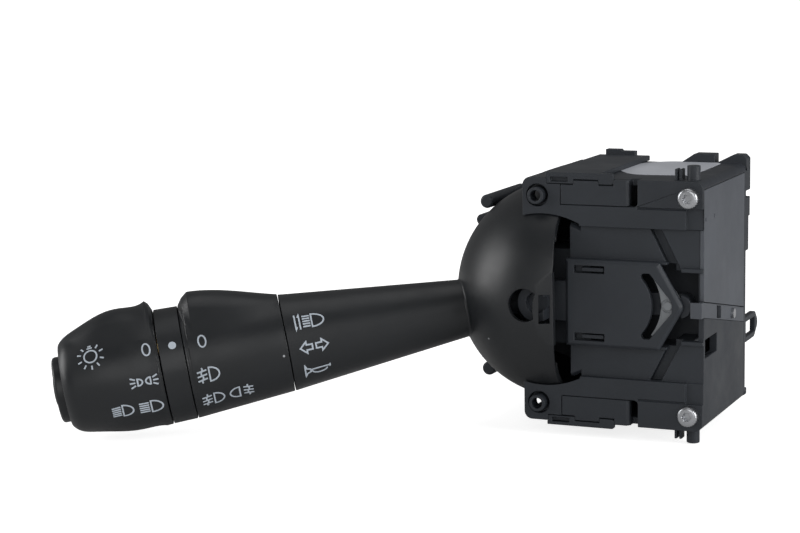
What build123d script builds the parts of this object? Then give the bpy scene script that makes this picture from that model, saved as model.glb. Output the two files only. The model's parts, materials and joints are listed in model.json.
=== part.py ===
from build123d import *
import os
from math import asin, cos, degrees, radians, sin, sqrt

# Combination stalk switch, in millimetres.
# The origin lies midway between the two mounting holes, on the front face of the ears.
# X points to the steering column, Y away from the driver, Z up.

# Fits between pieces
RUN_FIT = 0.05
GAP = 0.3
SEAM = 0.15

# Housing
HOLE_PITCH = 62.0
HOUSING_LEFT = -4.6
HOUSING_RIGHT = 50.0
HOUSING_HALF = HOLE_PITCH / 2 + 5.3
HOUSING_DEPTH = 46.0
HOUSING_CORNER = 2.4
WALL = 2.4
FRONT_WALL = 3.0
REAR_WALL = 2.0
REAR_FACE = HOUSING_DEPTH + REAR_WALL
COVER_DEPTH = 1.5

# Lines of the front face, as heights above and below the middle
BOSS_EDGE = HOUSING_HALF - 7.9
BELT_EDGE = BOSS_EDGE - 6.1
PLATE_HALF = 12.8
WINDOW_HALF = 10.0
POCKET_HALF = 12.0

# Places across the front face
LATCH_LEFT = 7.1
LATCH_RIGHT = 28.0
NOTCH_WIDTH = 2.6
NOTCH_CORNER = 1.2
PANEL_LEFT = 9.5
PLATE_LEFT = 9.1
PLATE_SHOULDER = 37.4
PLATE_TIP = 44.8
WINDOW_LEFT = 41.0
WINDOW_RIGHT = HOUSING_RIGHT - 1.7
BELT_STEP_LEFT = HOUSING_RIGHT - 5.1
PANEL_RECESS = 1.5
LINE_WIDTH = 0.5
WINDOW_LIP = 1.2
WINDOW_LIP_LONG = 6.5
GROOVE_DEPTH = 3.8
GROOVE_WIDTH = 3.4
GROOVE_TOP = 35.6
GROOVE_FOOT = GROOVE_TOP + 6.2

# Guide plate
PLATE_THICK = 2.0
PLATE_BEVEL = 0.9
SNAP_LEFT = 11.9
SNAP_RIGHT = 21.1
SNAP_LOW = 8.9
SNAP_HIGH = 11.1
SNAP_HOOK = (14.1, 20.8)
SLOT_RADIUS = 12.2
SLOT_REACH = 9.6
SLOT_TIP = 41.4
SLOT_SHOULDER = 4.0

# Dome and gimbal
YOKE_FRONT = FRONT_WALL + 5.0
YOKE_BACK = HOUSING_DEPTH - 10.0
PIVOT_X = 1.5
PIVOT_Y = (YOKE_FRONT + YOKE_BACK) / 2
DOME_R = HOUSING_HALF - 3.0
DOME_WALL = 1.8
DOME_GAP = 0.4
DOME_RIM_X = 7.8
DOME_RIM_SIDE_X = 6.6
DOME_RIM_BEND = (12.0, 22.0)
DOME_WEB_BACK = -3.4
DOME_BACK_Y = HOUSING_DEPTH - 6.0
DOME_HOLE_X = -0.4
DOME_HOLE_R = 4.9
FLAT_R = 12.6
FLAT_TURN = 23.5
FLAT_DROP = 2.0
SLOT_PLACE = -9.05
SLOT_WIDE = 3.3
SLOT_TALL = 8.6
PULL_ANGLE = 6.0
TILT_ANGLE = 8.0
JOURNAL_R = 3.0
JOURNAL_BOSS_R = 5.7
JOURNAL_BOSS_CUT = 2.5
TONGUE_HALF = 6.0
TONGUE_LEFT = -4.0

# Lever, with places measured along it from the pivot
LEVER_LEAN = 30.0
LEVER_DROOP = 9.0
CONE_START = DOME_R - 1.4
CONE_START_R = 8.74
CONE_END = 86.8
CONE_END_R = 14.7
CONE_WALL = 2.0
TUBE_R = 5.0
TUBE_BORE_R = 3.2
FOG_END = CONE_END + 30.0
FOG_END_R = 17.1
FOG_CREST = FOG_END - 3.3
FOG_CREST_H = FOG_END_R + 3.8
FOG_WEB = (FOG_END - 16.8, FOG_END - 11.8)
INDEX_END = FOG_END + 7.4
INDEX_END_R = 17.3
KNOB_START = INDEX_END + 0.4
KNOB_CREST = KNOB_START + 1.8
KNOB_END = INDEX_END + 29.7
KNOB_R = INDEX_END_R + 0.2
KNOB_CREST_H = INDEX_END_R + 3.3
KNOB_WEB = (KNOB_CREST + 0.4, KNOB_CREST + 4.6)
KNOB_SHELL = 2.4
TUBE_END = KNOB_WEB[1] + 1.5
CREST_R = 10.5
# Shares of the way between two places, of the radius and of the crest's height
FOG_RISE_SHARES = ((0.299, 0.823), (0.64, 0.938))
FOG_FALL_SHARE = (0.576, 0.928)
KNOB_RISE_SHARES = ((0.0, 0.994, 0.864), (0.444, 0.994, 0.951), (1.0, 1.0, 1.0))
KNOB_FALL_SHARES = ((0.0, 1.0, 1.0), (0.298, 0.983, 0.966), (0.56, 0.931, 0.908),
                    (0.778, 0.869, 0.791), (0.909, 0.817, 0.709), (1.0, 0.697, 0.602))

# Horn button
HORN_R = 9.9
HORN_DROP = 0.9
HORN_PROUD = 2.7
HORN_TRAVEL = 2.0

# Cancelling pawl
PAWL_X = 23.2
PAWL_HUB_R = 4.5
PAWL_PIN_R = 2.0
PAWL_FRONT = 0.6
PAWL_THICK = 2.6
PAWL_ARM_THICK = 3.2
PAWL_NOSE_X = PAWL_X + 19.8
PAWL_NOSE_R = 3.4
V_POINTS = ((6.8, 8.4), (14.4, 9.2), (19.8, 1.6))
V_PIN_X = 16.3
V_PIN_R = 1.3
POCKET_FLOOR = PIVOT_Y - 10.0
POCKET_LEFT = PAWL_X - 6.6

# Screws, bushings and pegs
SCREW_X = HOUSING_RIGHT - 4.0
SCREW_Z = HOUSING_HALF - 4.7
SCREW_HEAD_R = 2.95
SCREW_HEAD_TALL = 2.6
SCREW_SHANK_R = 1.5
SCREW_LENGTH = 14.0
BUSHING_R = 2.5
BUSHING_BORE_R = 1.6
BUSHING_PROUD = 1.8
COUNTERBORE_R = 3.3
COUNTERBORE_DEPTH = 2.2
PEG_X = HOUSING_RIGHT - 4.0
PEG_Y = 4.6
PEG_R = 1.9
PEG_TALL = 4.2
PEG_RIBS = (-5.2, -3.8)
RIB_THICK = 0.8

# Rear housing
SKIRT_FRONT = PIVOT_Y + 16.0
SKIRT_WALL = 2.0
COWL_PEG_TURN = 46.6
COWL_PEG_R = 2.1
COWL_PEG_FRONT = PIVOT_Y - 4.0
SKIRT_BUMP_TURN = 32.1
SKIRT_BUMP_R = 1.8
SKIRT_BUMP_FRONT = PIVOT_Y + 6.0
SKIRT_PIN_TURN = 39.9
SKIRT_PIN_R = 0.9
SKIRT_PIN_FRONT = PIVOT_Y - 2.0
LOOP_REACH = 16.0
LOOP_TOP = -11.0
LOOP_FOOT = -19.0
LOOP_BAR = 1.7
FLANGE_BACK = REAR_FACE + 5.0
FLANGE_HEIGHTS = (9.6, 20.0, 26.0, 28.0)
FLANGE_REACH = (3.1, 4.6)
RAIL_TALL = 2.7
RAIL_SLOPE = 4.1
RAIL_WIDE = 10.5
RAIL_GAP = 0.4
STUD_RAILS = ((4.5, 9.5, 3.2), (9.5, 14.0, 2.7))

lean = radians(LEVER_LEAN)
droop = radians(LEVER_DROOP)
LEVER_DIR = Vector(-cos(lean) * cos(droop), -sin(lean) * cos(droop), -sin(droop))
LEVER_UP = (Vector(0, 0, 1) - LEVER_DIR * LEVER_DIR.Z).normalized()
PIVOT = Vector(PIVOT_X, PIVOT_Y, 0)
LEVER_PROFILE = Plane(origin=PIVOT, x_dir=LEVER_UP, z_dir=LEVER_UP.cross(LEVER_DIR))
LEVER_AXIS = Axis(PIVOT, LEVER_DIR)
DOME_INNER = DOME_R - DOME_WALL
HOLE_Z = HOLE_PITCH / 2


def face_plane(y):
    """A plane parallel to the front face, X to the right and Z up, at a depth behind the face."""
    return Plane(origin=(0, y, 0), x_dir=(1, 0, 0), z_dir=(0, -1, 0))


def side_plane(x):
    """A plane parallel to the right side, with Y to the right and Z up."""
    return Plane(origin=(x, 0, 0), x_dir=(0, 1, 0), z_dir=(1, 0, 0))


def lever_plane(along):
    """A plane across the lever at a distance from the pivot, with its X upwards."""
    return Plane(origin=PIVOT + LEVER_DIR * along, x_dir=LEVER_UP, z_dir=LEVER_DIR)


def block(x_span, y_span, z_span, mode=Mode.ADD):
    """A block between two corners, given as a span on each axis."""
    spans = (x_span, y_span, z_span)
    with Locations(tuple((low + high) / 2 for low, high in spans)):
        Box(*[high - low for low, high in spans], mode=mode)


def prism(points, y_front, y_back, mode=Mode.ADD):
    """An outline on the front face, pulled back from one depth to another."""
    with BuildSketch(face_plane(y_front)) as outline:
        Polygon(*points, align=None)
    extrude(outline.sketch, amount=y_front - y_back, mode=mode)


def side_prism(points, x_low, x_high, mode=Mode.ADD):
    """An outline on the right side, given as depth and height, between two places in X."""
    with BuildSketch(side_plane(x_low)) as outline:
        Polygon(*points, align=None)
    extrude(outline.sketch, amount=x_high - x_low, mode=mode)


def rod(start, direction, radius, length, mode=Mode.ADD):
    """A round rod from a point along a direction."""
    with BuildSketch(Plane(origin=start, z_dir=direction)) as disc:
        Circle(radius)
    extrude(disc.sketch, amount=length, mode=mode)


def turned(outline, mode=Mode.ADD):
    """A piece turned about the lever's axis, from points given as place along it and radius."""
    with BuildSketch(LEVER_PROFILE) as half:
        Polygon(*[(radius, along) for along, radius in outline], align=None)
    revolve(half.sketch, axis=LEVER_AXIS, mode=mode)


def sleeve(start, end, outer_start, outer_end, inner_start, inner_end):
    """The outline of a tapered tube about the lever's axis."""
    return [(start, inner_start), (start, outer_start), (end, outer_end), (end, inner_end)]


def spring(start, direction, coil_r, wire_r, pitch, length):
    """A coil of round wire along a direction."""
    with BuildLine() as coil:
        Helix(pitch=pitch, height=length, radius=coil_r, center=start, direction=direction)
    with BuildSketch(Plane(origin=coil.line @ 0, z_dir=coil.line % 0)) as wire:
        Circle(wire_r)
    sweep(wire.sketch, path=coil.line, is_frenet=True)


def finish(piece, name):
    """Names a piece and writes it."""
    piece.part.label = name
    export_step(piece.part, f"parts/{name}.step")


os.makedirs("parts", exist_ok=True)

# The room that the dome needs in the housing, over its whole travel
tilt_sine = sin(radians(TILT_ANGLE))
pull_sine = sin(radians(PULL_ANGLE))
DOME_SWEEP_X = DOME_RIM_SIDE_X + DOME_R * sqrt(pull_sine ** 2 + tilt_sine ** 2) + DOME_GAP
JOURNAL_BOSS_FRONT = PIVOT_Y - DOME_INNER + 3.5
JOURNAL_TIP = JOURNAL_BOSS_FRONT + 2.4
with BuildPart() as dome_room:
    with Locations(PIVOT):
        Sphere(DOME_R + DOME_GAP)
        Sphere(DOME_INNER - DOME_GAP, mode=Mode.SUBTRACT)
    split(bisect_by=Plane(origin=(DOME_SWEEP_X, 0, 0), z_dir=(1, 0, 0)), keep=Keep.BOTTOM)
with BuildPart() as dome_mouth:
    with Locations(PIVOT):
        Sphere(DOME_R + DOME_GAP)
    split(bisect_by=Plane(origin=(PANEL_LEFT, 0, 0), z_dir=(1, 0, 0)), keep=Keep.BOTTOM)

# Outlines that two pieces share: the interlocking edge between latch plate and cover
LIP_LEFT = 2.9
LIP_STEP_LOW = HOUSING_HALF - 1.8
LIP_STEP_HIGH = HOUSING_HALF - 0.5
LIP_TEETH = [LIP_LEFT, 11.2, 18.8, 23.4]
COVER_LEFT = 2.6
COVER_RIGHT = 19.0
COVER_BACK = REAR_FACE + 2.0
UPPER_COVER_THICK = 1.6
LOWER_COVER_THICK = 1.2


def lip_outline(seam, top):
    """The front lip of a cover, with two teeth that reach down over the latch plate."""
    left, tooth_end, second, second_end = LIP_TEETH
    low, high = LIP_STEP_LOW + seam, LIP_STEP_HIGH + seam
    return [(left, top), (left, low), (tooth_end, low), (tooth_end, high), (second, high),
            (second, low), (second_end, low), (second_end, top)]


# Main housing: the front moulding, open at the left and at the rear
latch_field = [(LATCH_LEFT, BOSS_EDGE), (LATCH_RIGHT, BOSS_EDGE),
               (LATCH_RIGHT, HOUSING_HALF + 1), (LATCH_LEFT, HOUSING_HALF + 1)]
lip_field = [(LIP_LEFT, LIP_STEP_LOW), (LATCH_RIGHT, LIP_STEP_LOW),
             (LATCH_RIGHT, HOUSING_HALF + 1), (LIP_LEFT, HOUSING_HALF + 1)]
panel_field = [(PANEL_LEFT, 0), (HOUSING_RIGHT + 1, 0),
               (HOUSING_RIGHT + 1, BELT_EDGE), (PANEL_LEFT, BELT_EDGE)]
groove_field = [(GROOVE_TOP - GROOVE_WIDTH / 2, BELT_EDGE), (GROOVE_TOP + GROOVE_WIDTH / 2, BELT_EDGE),
                (GROOVE_FOOT + GROOVE_WIDTH / 2, WINDOW_HALF), (GROOVE_FOOT - GROOVE_WIDTH / 2, WINDOW_HALF)]
notch_span = (LATCH_RIGHT, LATCH_RIGHT + NOTCH_WIDTH)
notch_field = [(notch_span[0], BOSS_EDGE), (notch_span[1], BOSS_EDGE),
               (notch_span[1], HOUSING_HALF + 1), (notch_span[0], HOUSING_HALF + 1)]
SIDE_PANEL_THICK = 1.2
SIDE_PANEL_FRONT = 1.2
SIDE_PANEL_TOP = HOUSING_HALF - 2.3
SIDE_FALL_FRONT = 1.6
SIDE_FALL_BACK = -7.4
STRIP_TALL = 4.6
side_field = [(SIDE_PANEL_FRONT, SIDE_FALL_FRONT), (HOUSING_DEPTH, SIDE_FALL_BACK),
              (HOUSING_DEPTH, SIDE_PANEL_TOP), (SIDE_PANEL_FRONT, SIDE_PANEL_TOP)]
strip_field = [(SIDE_PANEL_FRONT, SIDE_FALL_FRONT), (HOUSING_DEPTH, SIDE_FALL_BACK),
               (HOUSING_DEPTH, SIDE_FALL_BACK - STRIP_TALL),
               (SIDE_PANEL_FRONT, SIDE_FALL_FRONT - STRIP_TALL)]
SIDE_WINDOW_Y = (2.8, 15.6)
SIDE_WINDOW_Z = (-15.1, -9.7)
STUD_Y = 32.3
STUD_R = 1.45
STRIP_SLOT_Y = (15.3, 20.0)
STRIP_SLOT_RIM = 0.4
STRIP_ARM_LEFT = HOUSING_RIGHT - 3.4
POST_R = 3.6
POST_FRONT = 20.0
REAR_SCREW_X = HOUSING_RIGHT - 7.0
REAR_SCREW_Z = HOUSING_HALF - 6.3
POCKET_WALL = 1.6
POCKET_BACK = POCKET_FLOOR + POCKET_WALL
SIDE_SLOPE = (SIDE_FALL_BACK - SIDE_FALL_FRONT) / (HOUSING_DEPTH - SIDE_PANEL_FRONT)


def strip_outline(start, end, inset):
    """The slanted strip between two depths, set in from its seat."""
    top = [(y, SIDE_FALL_FRONT + SIDE_SLOPE * (y - SIDE_PANEL_FRONT) - inset) for y in (start, end)]
    foot = [(y, z - STRIP_TALL + 2 * inset) for y, z in reversed(top)]
    return top + foot


with BuildPart() as main_housing:
    with BuildSketch(face_plane(0)):
        with Locations(((HOUSING_LEFT + HOUSING_RIGHT) / 2, 0)):
            RectangleRounded(HOUSING_RIGHT - HOUSING_LEFT, 2 * HOUSING_HALF, HOUSING_CORNER)
    extrude(amount=-HOUSING_DEPTH)
    inner_right = HOUSING_RIGHT - WALL
    inner_half = HOUSING_HALF - WALL + GAP
    hollow_y = (FRONT_WALL, HOUSING_DEPTH + 1)
    block((HOUSING_LEFT - 1, inner_right), hollow_y, (-inner_half, inner_half), Mode.SUBTRACT)
    # Walls of the pawl's pocket behind the guide plate
    pocket_top = POCKET_HALF + POCKET_WALL
    block((POCKET_LEFT - POCKET_WALL, inner_right), (FRONT_WALL, POCKET_BACK), (-pocket_top, pocket_top))
    # Backing of the slanted grooves
    for side in (-1, 1):
        backing_x = (GROOVE_TOP - GROOVE_WIDTH, GROOVE_FOOT + GROOVE_WIDTH)
        backing_z = sorted((side * (pocket_top - 1), side * (BELT_EDGE + 1)))
        block(backing_x, (FRONT_WALL - 1, GROOVE_DEPTH + 1.2), backing_z)
    # Posts for the front and rear screws
    for side in (-1, 1):
        rod((SCREW_X - GAP, FRONT_WALL, side * SCREW_Z), (0, 1, 0), POST_R, POST_FRONT)
        rod((REAR_SCREW_X, POST_FRONT, side * REAR_SCREW_Z), (0, 1, 0), POST_R, HOUSING_DEPTH - POST_FRONT)
        # Recessed panels with their slanted groove, and the stepped end of the belt
        prism([(x, side * z) for x, z in panel_field], -1, PANEL_RECESS, Mode.SUBTRACT)
        prism([(x, side * z) for x, z in groove_field], -1, GROOVE_DEPTH, Mode.SUBTRACT)
        step = sorted((side * BELT_EDGE, side * BOSS_EDGE))
        block((BELT_STEP_LEFT, HOUSING_RIGHT + 1), (-1, 1.0), step, Mode.SUBTRACT)
        line = sorted((side * BOSS_EDGE, side * (BOSS_EDGE - LINE_WIDTH)))
        block((notch_span[1], BELT_STEP_LEFT), (-1, LINE_WIDTH), line, Mode.SUBTRACT)
        # Lip beside the window for the column's cam
        lip = sorted((side * WINDOW_HALF, side * (WINDOW_HALF + WINDOW_LIP)))
        lip_x = (HOUSING_RIGHT - WINDOW_LIP_LONG, HOUSING_RIGHT)
        block(lip_x, (PANEL_RECESS - WINDOW_LIP, PANEL_RECESS), lip)
        # Seats of the latch plate and of the cover's lip, and the open notch beside them
        prism([(x, side * z) for x, z in latch_field], -1, COVER_DEPTH, Mode.SUBTRACT)
        prism([(x, side * z) for x, z in lip_field], -1, COVER_DEPTH, Mode.SUBTRACT)
        with BuildSketch(face_plane(-1)) as notch:
            Polygon(*[(x, side * z) for x, z in notch_field], align=None)
            fillet(notch.vertices().sort_by_distance((notch_span[1], side * BOSS_EDGE, 0))[0], NOTCH_CORNER)
        extrude(notch.sketch, amount=-FRONT_WALL - 2, mode=Mode.SUBTRACT)
    # The seat of the guide plate, level with the ears, and the tongue that carries the front journal
    block((PLATE_LEFT, PLATE_SHOULDER + 2), (0, FRONT_WALL), (-PLATE_HALF, PLATE_HALF))
    add(dome_mouth.part, mode=Mode.SUBTRACT)
    add(dome_room.part, mode=Mode.SUBTRACT)
    block((TONGUE_LEFT, POCKET_LEFT), (0, FRONT_WALL), (-TONGUE_HALF, TONGUE_HALF))
    rod((PIVOT_X, 1, 0), (0, -1, 0), JOURNAL_BOSS_R, 1 - JOURNAL_BOSS_FRONT)
    boss_cut_x = (PIVOT_X + JOURNAL_BOSS_CUT, PIVOT_X + JOURNAL_BOSS_R + 1)
    block(boss_cut_x, (JOURNAL_BOSS_FRONT - 1, 0), (-TONGUE_HALF, TONGUE_HALF), Mode.SUBTRACT)
    # The pocket and the window that the steering column's cancelling cam reaches into
    block((POCKET_LEFT, WINDOW_LEFT), (-1, POCKET_FLOOR), (-POCKET_HALF, POCKET_HALF), Mode.SUBTRACT)
    block((WINDOW_LEFT - 1, WINDOW_RIGHT), (-1, POCKET_FLOOR), (-WINDOW_HALF, WINDOW_HALF), Mode.SUBTRACT)
    # Seats of the side panel and side strip, and the side window
    seat_x = HOUSING_RIGHT - SIDE_PANEL_THICK
    side_prism(side_field, seat_x, HOUSING_RIGHT + 1, Mode.SUBTRACT)
    side_prism(strip_field, seat_x, HOUSING_RIGHT + 1, Mode.SUBTRACT)
    block((HOUSING_RIGHT - WALL - 1, HOUSING_RIGHT + 1), SIDE_WINDOW_Y, SIDE_WINDOW_Z, Mode.SUBTRACT)
    side_prism(strip_outline(*STRIP_SLOT_Y, STRIP_SLOT_RIM), inner_right - 1, HOUSING_RIGHT, Mode.SUBTRACT)
    # Snap hooks of the guide plate
    for side in (-1, 1):
        hook = sorted((side * (SNAP_LOW + 0.4), side * (SNAP_HIGH - 0.6)))
        block(SNAP_HOOK, (-PLATE_THICK + 0.5, 0), hook)
    # Holes for the bushings, screws, journal and pawl pin
    for side in (-1, 1):
        rod((0, -1, side * HOLE_Z), (0, 1, 0), BUSHING_R, FRONT_WALL + 1, Mode.SUBTRACT)
        rod((0, -1, side * HOLE_Z), (0, 1, 0), COUNTERBORE_R, 1 + COUNTERBORE_DEPTH, Mode.SUBTRACT)
        rod((SCREW_X, -1, side * SCREW_Z), (0, 1, 0), SCREW_SHANK_R, SCREW_LENGTH + 1, Mode.SUBTRACT)
        hole_end = (REAR_SCREW_X, HOUSING_DEPTH - SCREW_LENGTH, side * REAR_SCREW_Z)
        rod(hole_end, (0, 1, 0), SCREW_SHANK_R, SCREW_LENGTH + 1, Mode.SUBTRACT)
        # Cowl pegs above and below, each with a ribbed wedge beside it
        rod((PEG_X, PEG_Y, side * (HOUSING_HALF - 1)), (0, 0, side), PEG_R, PEG_TALL + 1)
        wedge = sorted((side * (HOUSING_HALF - 1), side * (HOUSING_HALF + PEG_TALL - 1)))
        for rib in PEG_RIBS:
            block((PEG_X + rib, PEG_X + rib + RIB_THICK), (PEG_Y - 1.6, PEG_Y + 1.6), wedge)
        spine = sorted((side * (HOUSING_HALF - 1), side * (HOUSING_HALF + PEG_TALL - 2)))
        spine_x = (PEG_X + PEG_RIBS[0], PEG_X + PEG_RIBS[1])
        block(spine_x, (PEG_Y - RIB_THICK / 2, PEG_Y + RIB_THICK / 2), spine)
    journal_bore = FRONT_WALL - JOURNAL_BOSS_FRONT + 2
    rod((PIVOT_X, JOURNAL_BOSS_FRONT - 1, 0), (0, 1, 0), JOURNAL_R + RUN_FIT, journal_bore, Mode.SUBTRACT)
    rod((PAWL_X, POCKET_FLOOR - 1, 0), (0, 1, 0), PAWL_PIN_R, 6, Mode.SUBTRACT)
finish(main_housing, "main_housing")

# Latch plates set flush in the front face, and the covers whose lips hook over them
for name, side, thick in (("upper", 1, UPPER_COVER_THICK), ("lower", -1, LOWER_COVER_THICK)):
    with BuildPart() as latch_plate:
        with BuildSketch(face_plane(0)):
            field = [(LATCH_LEFT + SEAM, BOSS_EDGE + SEAM), (LATCH_RIGHT, BOSS_EDGE + SEAM),
                     (LATCH_RIGHT, HOUSING_HALF - SEAM), (LATCH_LEFT + SEAM, HOUSING_HALF - SEAM)]
            Polygon(*[(x, side * z) for x, z in field], align=None)
            Polygon(*[(x, side * z) for x, z in lip_outline(-SEAM, HOUSING_HALF + 1)], align=None,
                    mode=Mode.SUBTRACT)
        extrude(amount=-COVER_DEPTH)
        chamfer(latch_plate.faces().sort_by(Axis.Y)[0].edges().sort_by(Axis.X)[-1], 0.8)
    finish(latch_plate, f"{name}_latch_plate")

    with BuildPart() as cover:
        slab = sorted((side * HOUSING_HALF, side * (HOUSING_HALF + thick)))
        block((COVER_LEFT, COVER_RIGHT), (0, COVER_BACK), slab)
        prism([(x, side * z) for x, z in lip_outline(SEAM, HOUSING_HALF + thick)], 0, COVER_DEPTH - SEAM)
        chamfer(cover.faces().sort_by(Axis.X)[-1].edges().filter_by(Axis.Y), 0.5)
        # The dark slot in the lip's first tooth
        slot = sorted((side * (LIP_STEP_LOW + 0.7), side * (LIP_STEP_LOW + 2.0)))
        block((LIP_LEFT + 1.2, LIP_LEFT + 6.6), (-1, COVER_DEPTH - 0.4), slot, Mode.SUBTRACT)
    finish(cover, f"{name}_cover")

# Guide plate: five sides with a bevelled point, snap windows and the arc slot with its V notch
plate_outline = [(PLATE_LEFT, PLATE_HALF), (PLATE_SHOULDER, PLATE_HALF), (PLATE_TIP, 0),
                 (PLATE_SHOULDER, -PLATE_HALF), (PLATE_LEFT, -PLATE_HALF)]
slot_start = degrees(asin(SLOT_REACH / SLOT_RADIUS))
slot_corner_x = PAWL_X + SLOT_RADIUS * cos(radians(slot_start)) + SLOT_SHOULDER
with BuildPart() as guide_plate:
    with BuildSketch(face_plane(0)) as plate_sketch:
        Polygon(*plate_outline, align=None)
        fillet(plate_sketch.vertices().sort_by(Axis.X)[-1], 2.5)
    extrude(amount=PLATE_THICK)
    front_rim = guide_plate.faces().sort_by(Axis.Y)[0].outer_wire().edges()
    chamfer(front_rim, PLATE_BEVEL)
    for side in (-1, 1):
        snap = sorted((side * SNAP_LOW, side * SNAP_HIGH))
        block((SNAP_LEFT, SNAP_RIGHT), (-PLATE_THICK - 1, 1), snap, Mode.SUBTRACT)
    with BuildSketch(face_plane(1)) as slot_sketch:
        with BuildLine():
            arc = CenterArc((PAWL_X, 0), SLOT_RADIUS, -slot_start, 2 * slot_start)
            upper = Line(arc @ 1, (slot_corner_x, SLOT_REACH))
            tip_top = Line(upper @ 1, (SLOT_TIP, 1.5))
            tip = Line(tip_top @ 1, (SLOT_TIP, -1.5))
            foot = Line(tip @ 1, (slot_corner_x, -SLOT_REACH))
            Line(foot @ 1, arc @ 0)
        make_face()
        fillet(slot_sketch.vertices().sort_by(Axis.X)[:2], 1.0)
        fillet(slot_sketch.vertices().sort_by(Axis.X)[-2:], 1.2)
    extrude(amount=PLATE_THICK + 2, mode=Mode.SUBTRACT)
finish(guide_plate, "guide_plate")

# Side panel, and the slanted strip below it with its slot and round pin
with BuildPart() as side_panel:
    inset = [(SIDE_PANEL_FRONT + SEAM, SIDE_FALL_FRONT + SEAM), (HOUSING_DEPTH, SIDE_FALL_BACK + SEAM),
             (HOUSING_DEPTH, SIDE_PANEL_TOP - SEAM), (SIDE_PANEL_FRONT + SEAM, SIDE_PANEL_TOP - SEAM)]
    side_prism(inset, seat_x, HOUSING_RIGHT)
    for hole_y in (3.2, 12.3):
        rod((HOUSING_RIGHT - 1, hole_y, 25.3), (1, 0, 0), 0.5, 2, Mode.SUBTRACT)
finish(side_panel, "side_panel")

with BuildPart() as side_strip:
    side_prism(strip_outline(SIDE_PANEL_FRONT + SEAM, HOUSING_DEPTH, SEAM / 2), seat_x, HOUSING_RIGHT)
    side_prism(strip_outline(*STRIP_SLOT_Y, STRIP_SLOT_RIM), seat_x - 1, HOUSING_RIGHT + 1, Mode.SUBTRACT)
    stud_z = SIDE_FALL_FRONT + SIDE_SLOPE * (STUD_Y - SIDE_PANEL_FRONT) - STRIP_TALL / 2
    rod((seat_x - 1, STUD_Y, stud_z), (1, 0, 0), STUD_R, SIDE_PANEL_THICK + 2, Mode.SUBTRACT)
    # The arm that bends round the front edge to the guide plate's point
    arm_z = (SIDE_FALL_FRONT - STRIP_TALL, SIDE_FALL_FRONT)
    block((STRIP_ARM_LEFT, HOUSING_RIGHT), (-0.9, 0), arm_z)
    block((seat_x, HOUSING_RIGHT), (-0.9, SIDE_PANEL_FRONT + SEAM), arm_z)
finish(side_strip, "side_strip")

with BuildPart() as strip_pin:
    rod((seat_x, STUD_Y, stud_z), (1, 0, 0), STUD_R, SIDE_PANEL_THICK + 0.8)
finish(strip_pin, "strip_pin")

# Rear housing: back wall, the round skirt behind the dome, the journal bearing and the flange
SKIRT_R = DOME_R + 0.5 + SKIRT_WALL
SKIRT_LIP_R = DOME_R - 2.9
BEARING_FRONT = HOUSING_DEPTH - 5.4
CONNECTOR_X = (13.0, 39.0)
CONNECTOR_Z = (-23.0, -5.0)
CONNECTOR_WALL = 1.5
CONNECTOR_BACK = REAR_FACE + 14.0
BOARD_FRONT = HOUSING_DEPTH - 6.5
BOARD_THICK = 1.6
BOARD_X = (14.0, HOUSING_RIGHT - 6.0)
BOARD_HALF = REAR_SCREW_Z - 6.0
BOARD_POST_R = 1.8
connector_hole_x = (CONNECTOR_X[0] + CONNECTOR_WALL, CONNECTOR_X[1] - CONNECTOR_WALL)
connector_hole_z = (CONNECTOR_Z[0] + CONNECTOR_WALL, CONNECTOR_Z[1] - CONNECTOR_WALL)


def beside_skirt(radius, turn, side, clear):
    """The place in X and Z of a round piece that stands clear of the dome at the skirt's edge."""
    out = DOME_R + clear + radius
    return PIVOT_X - out * cos(radians(turn)), side * out * sin(radians(turn))


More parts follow.
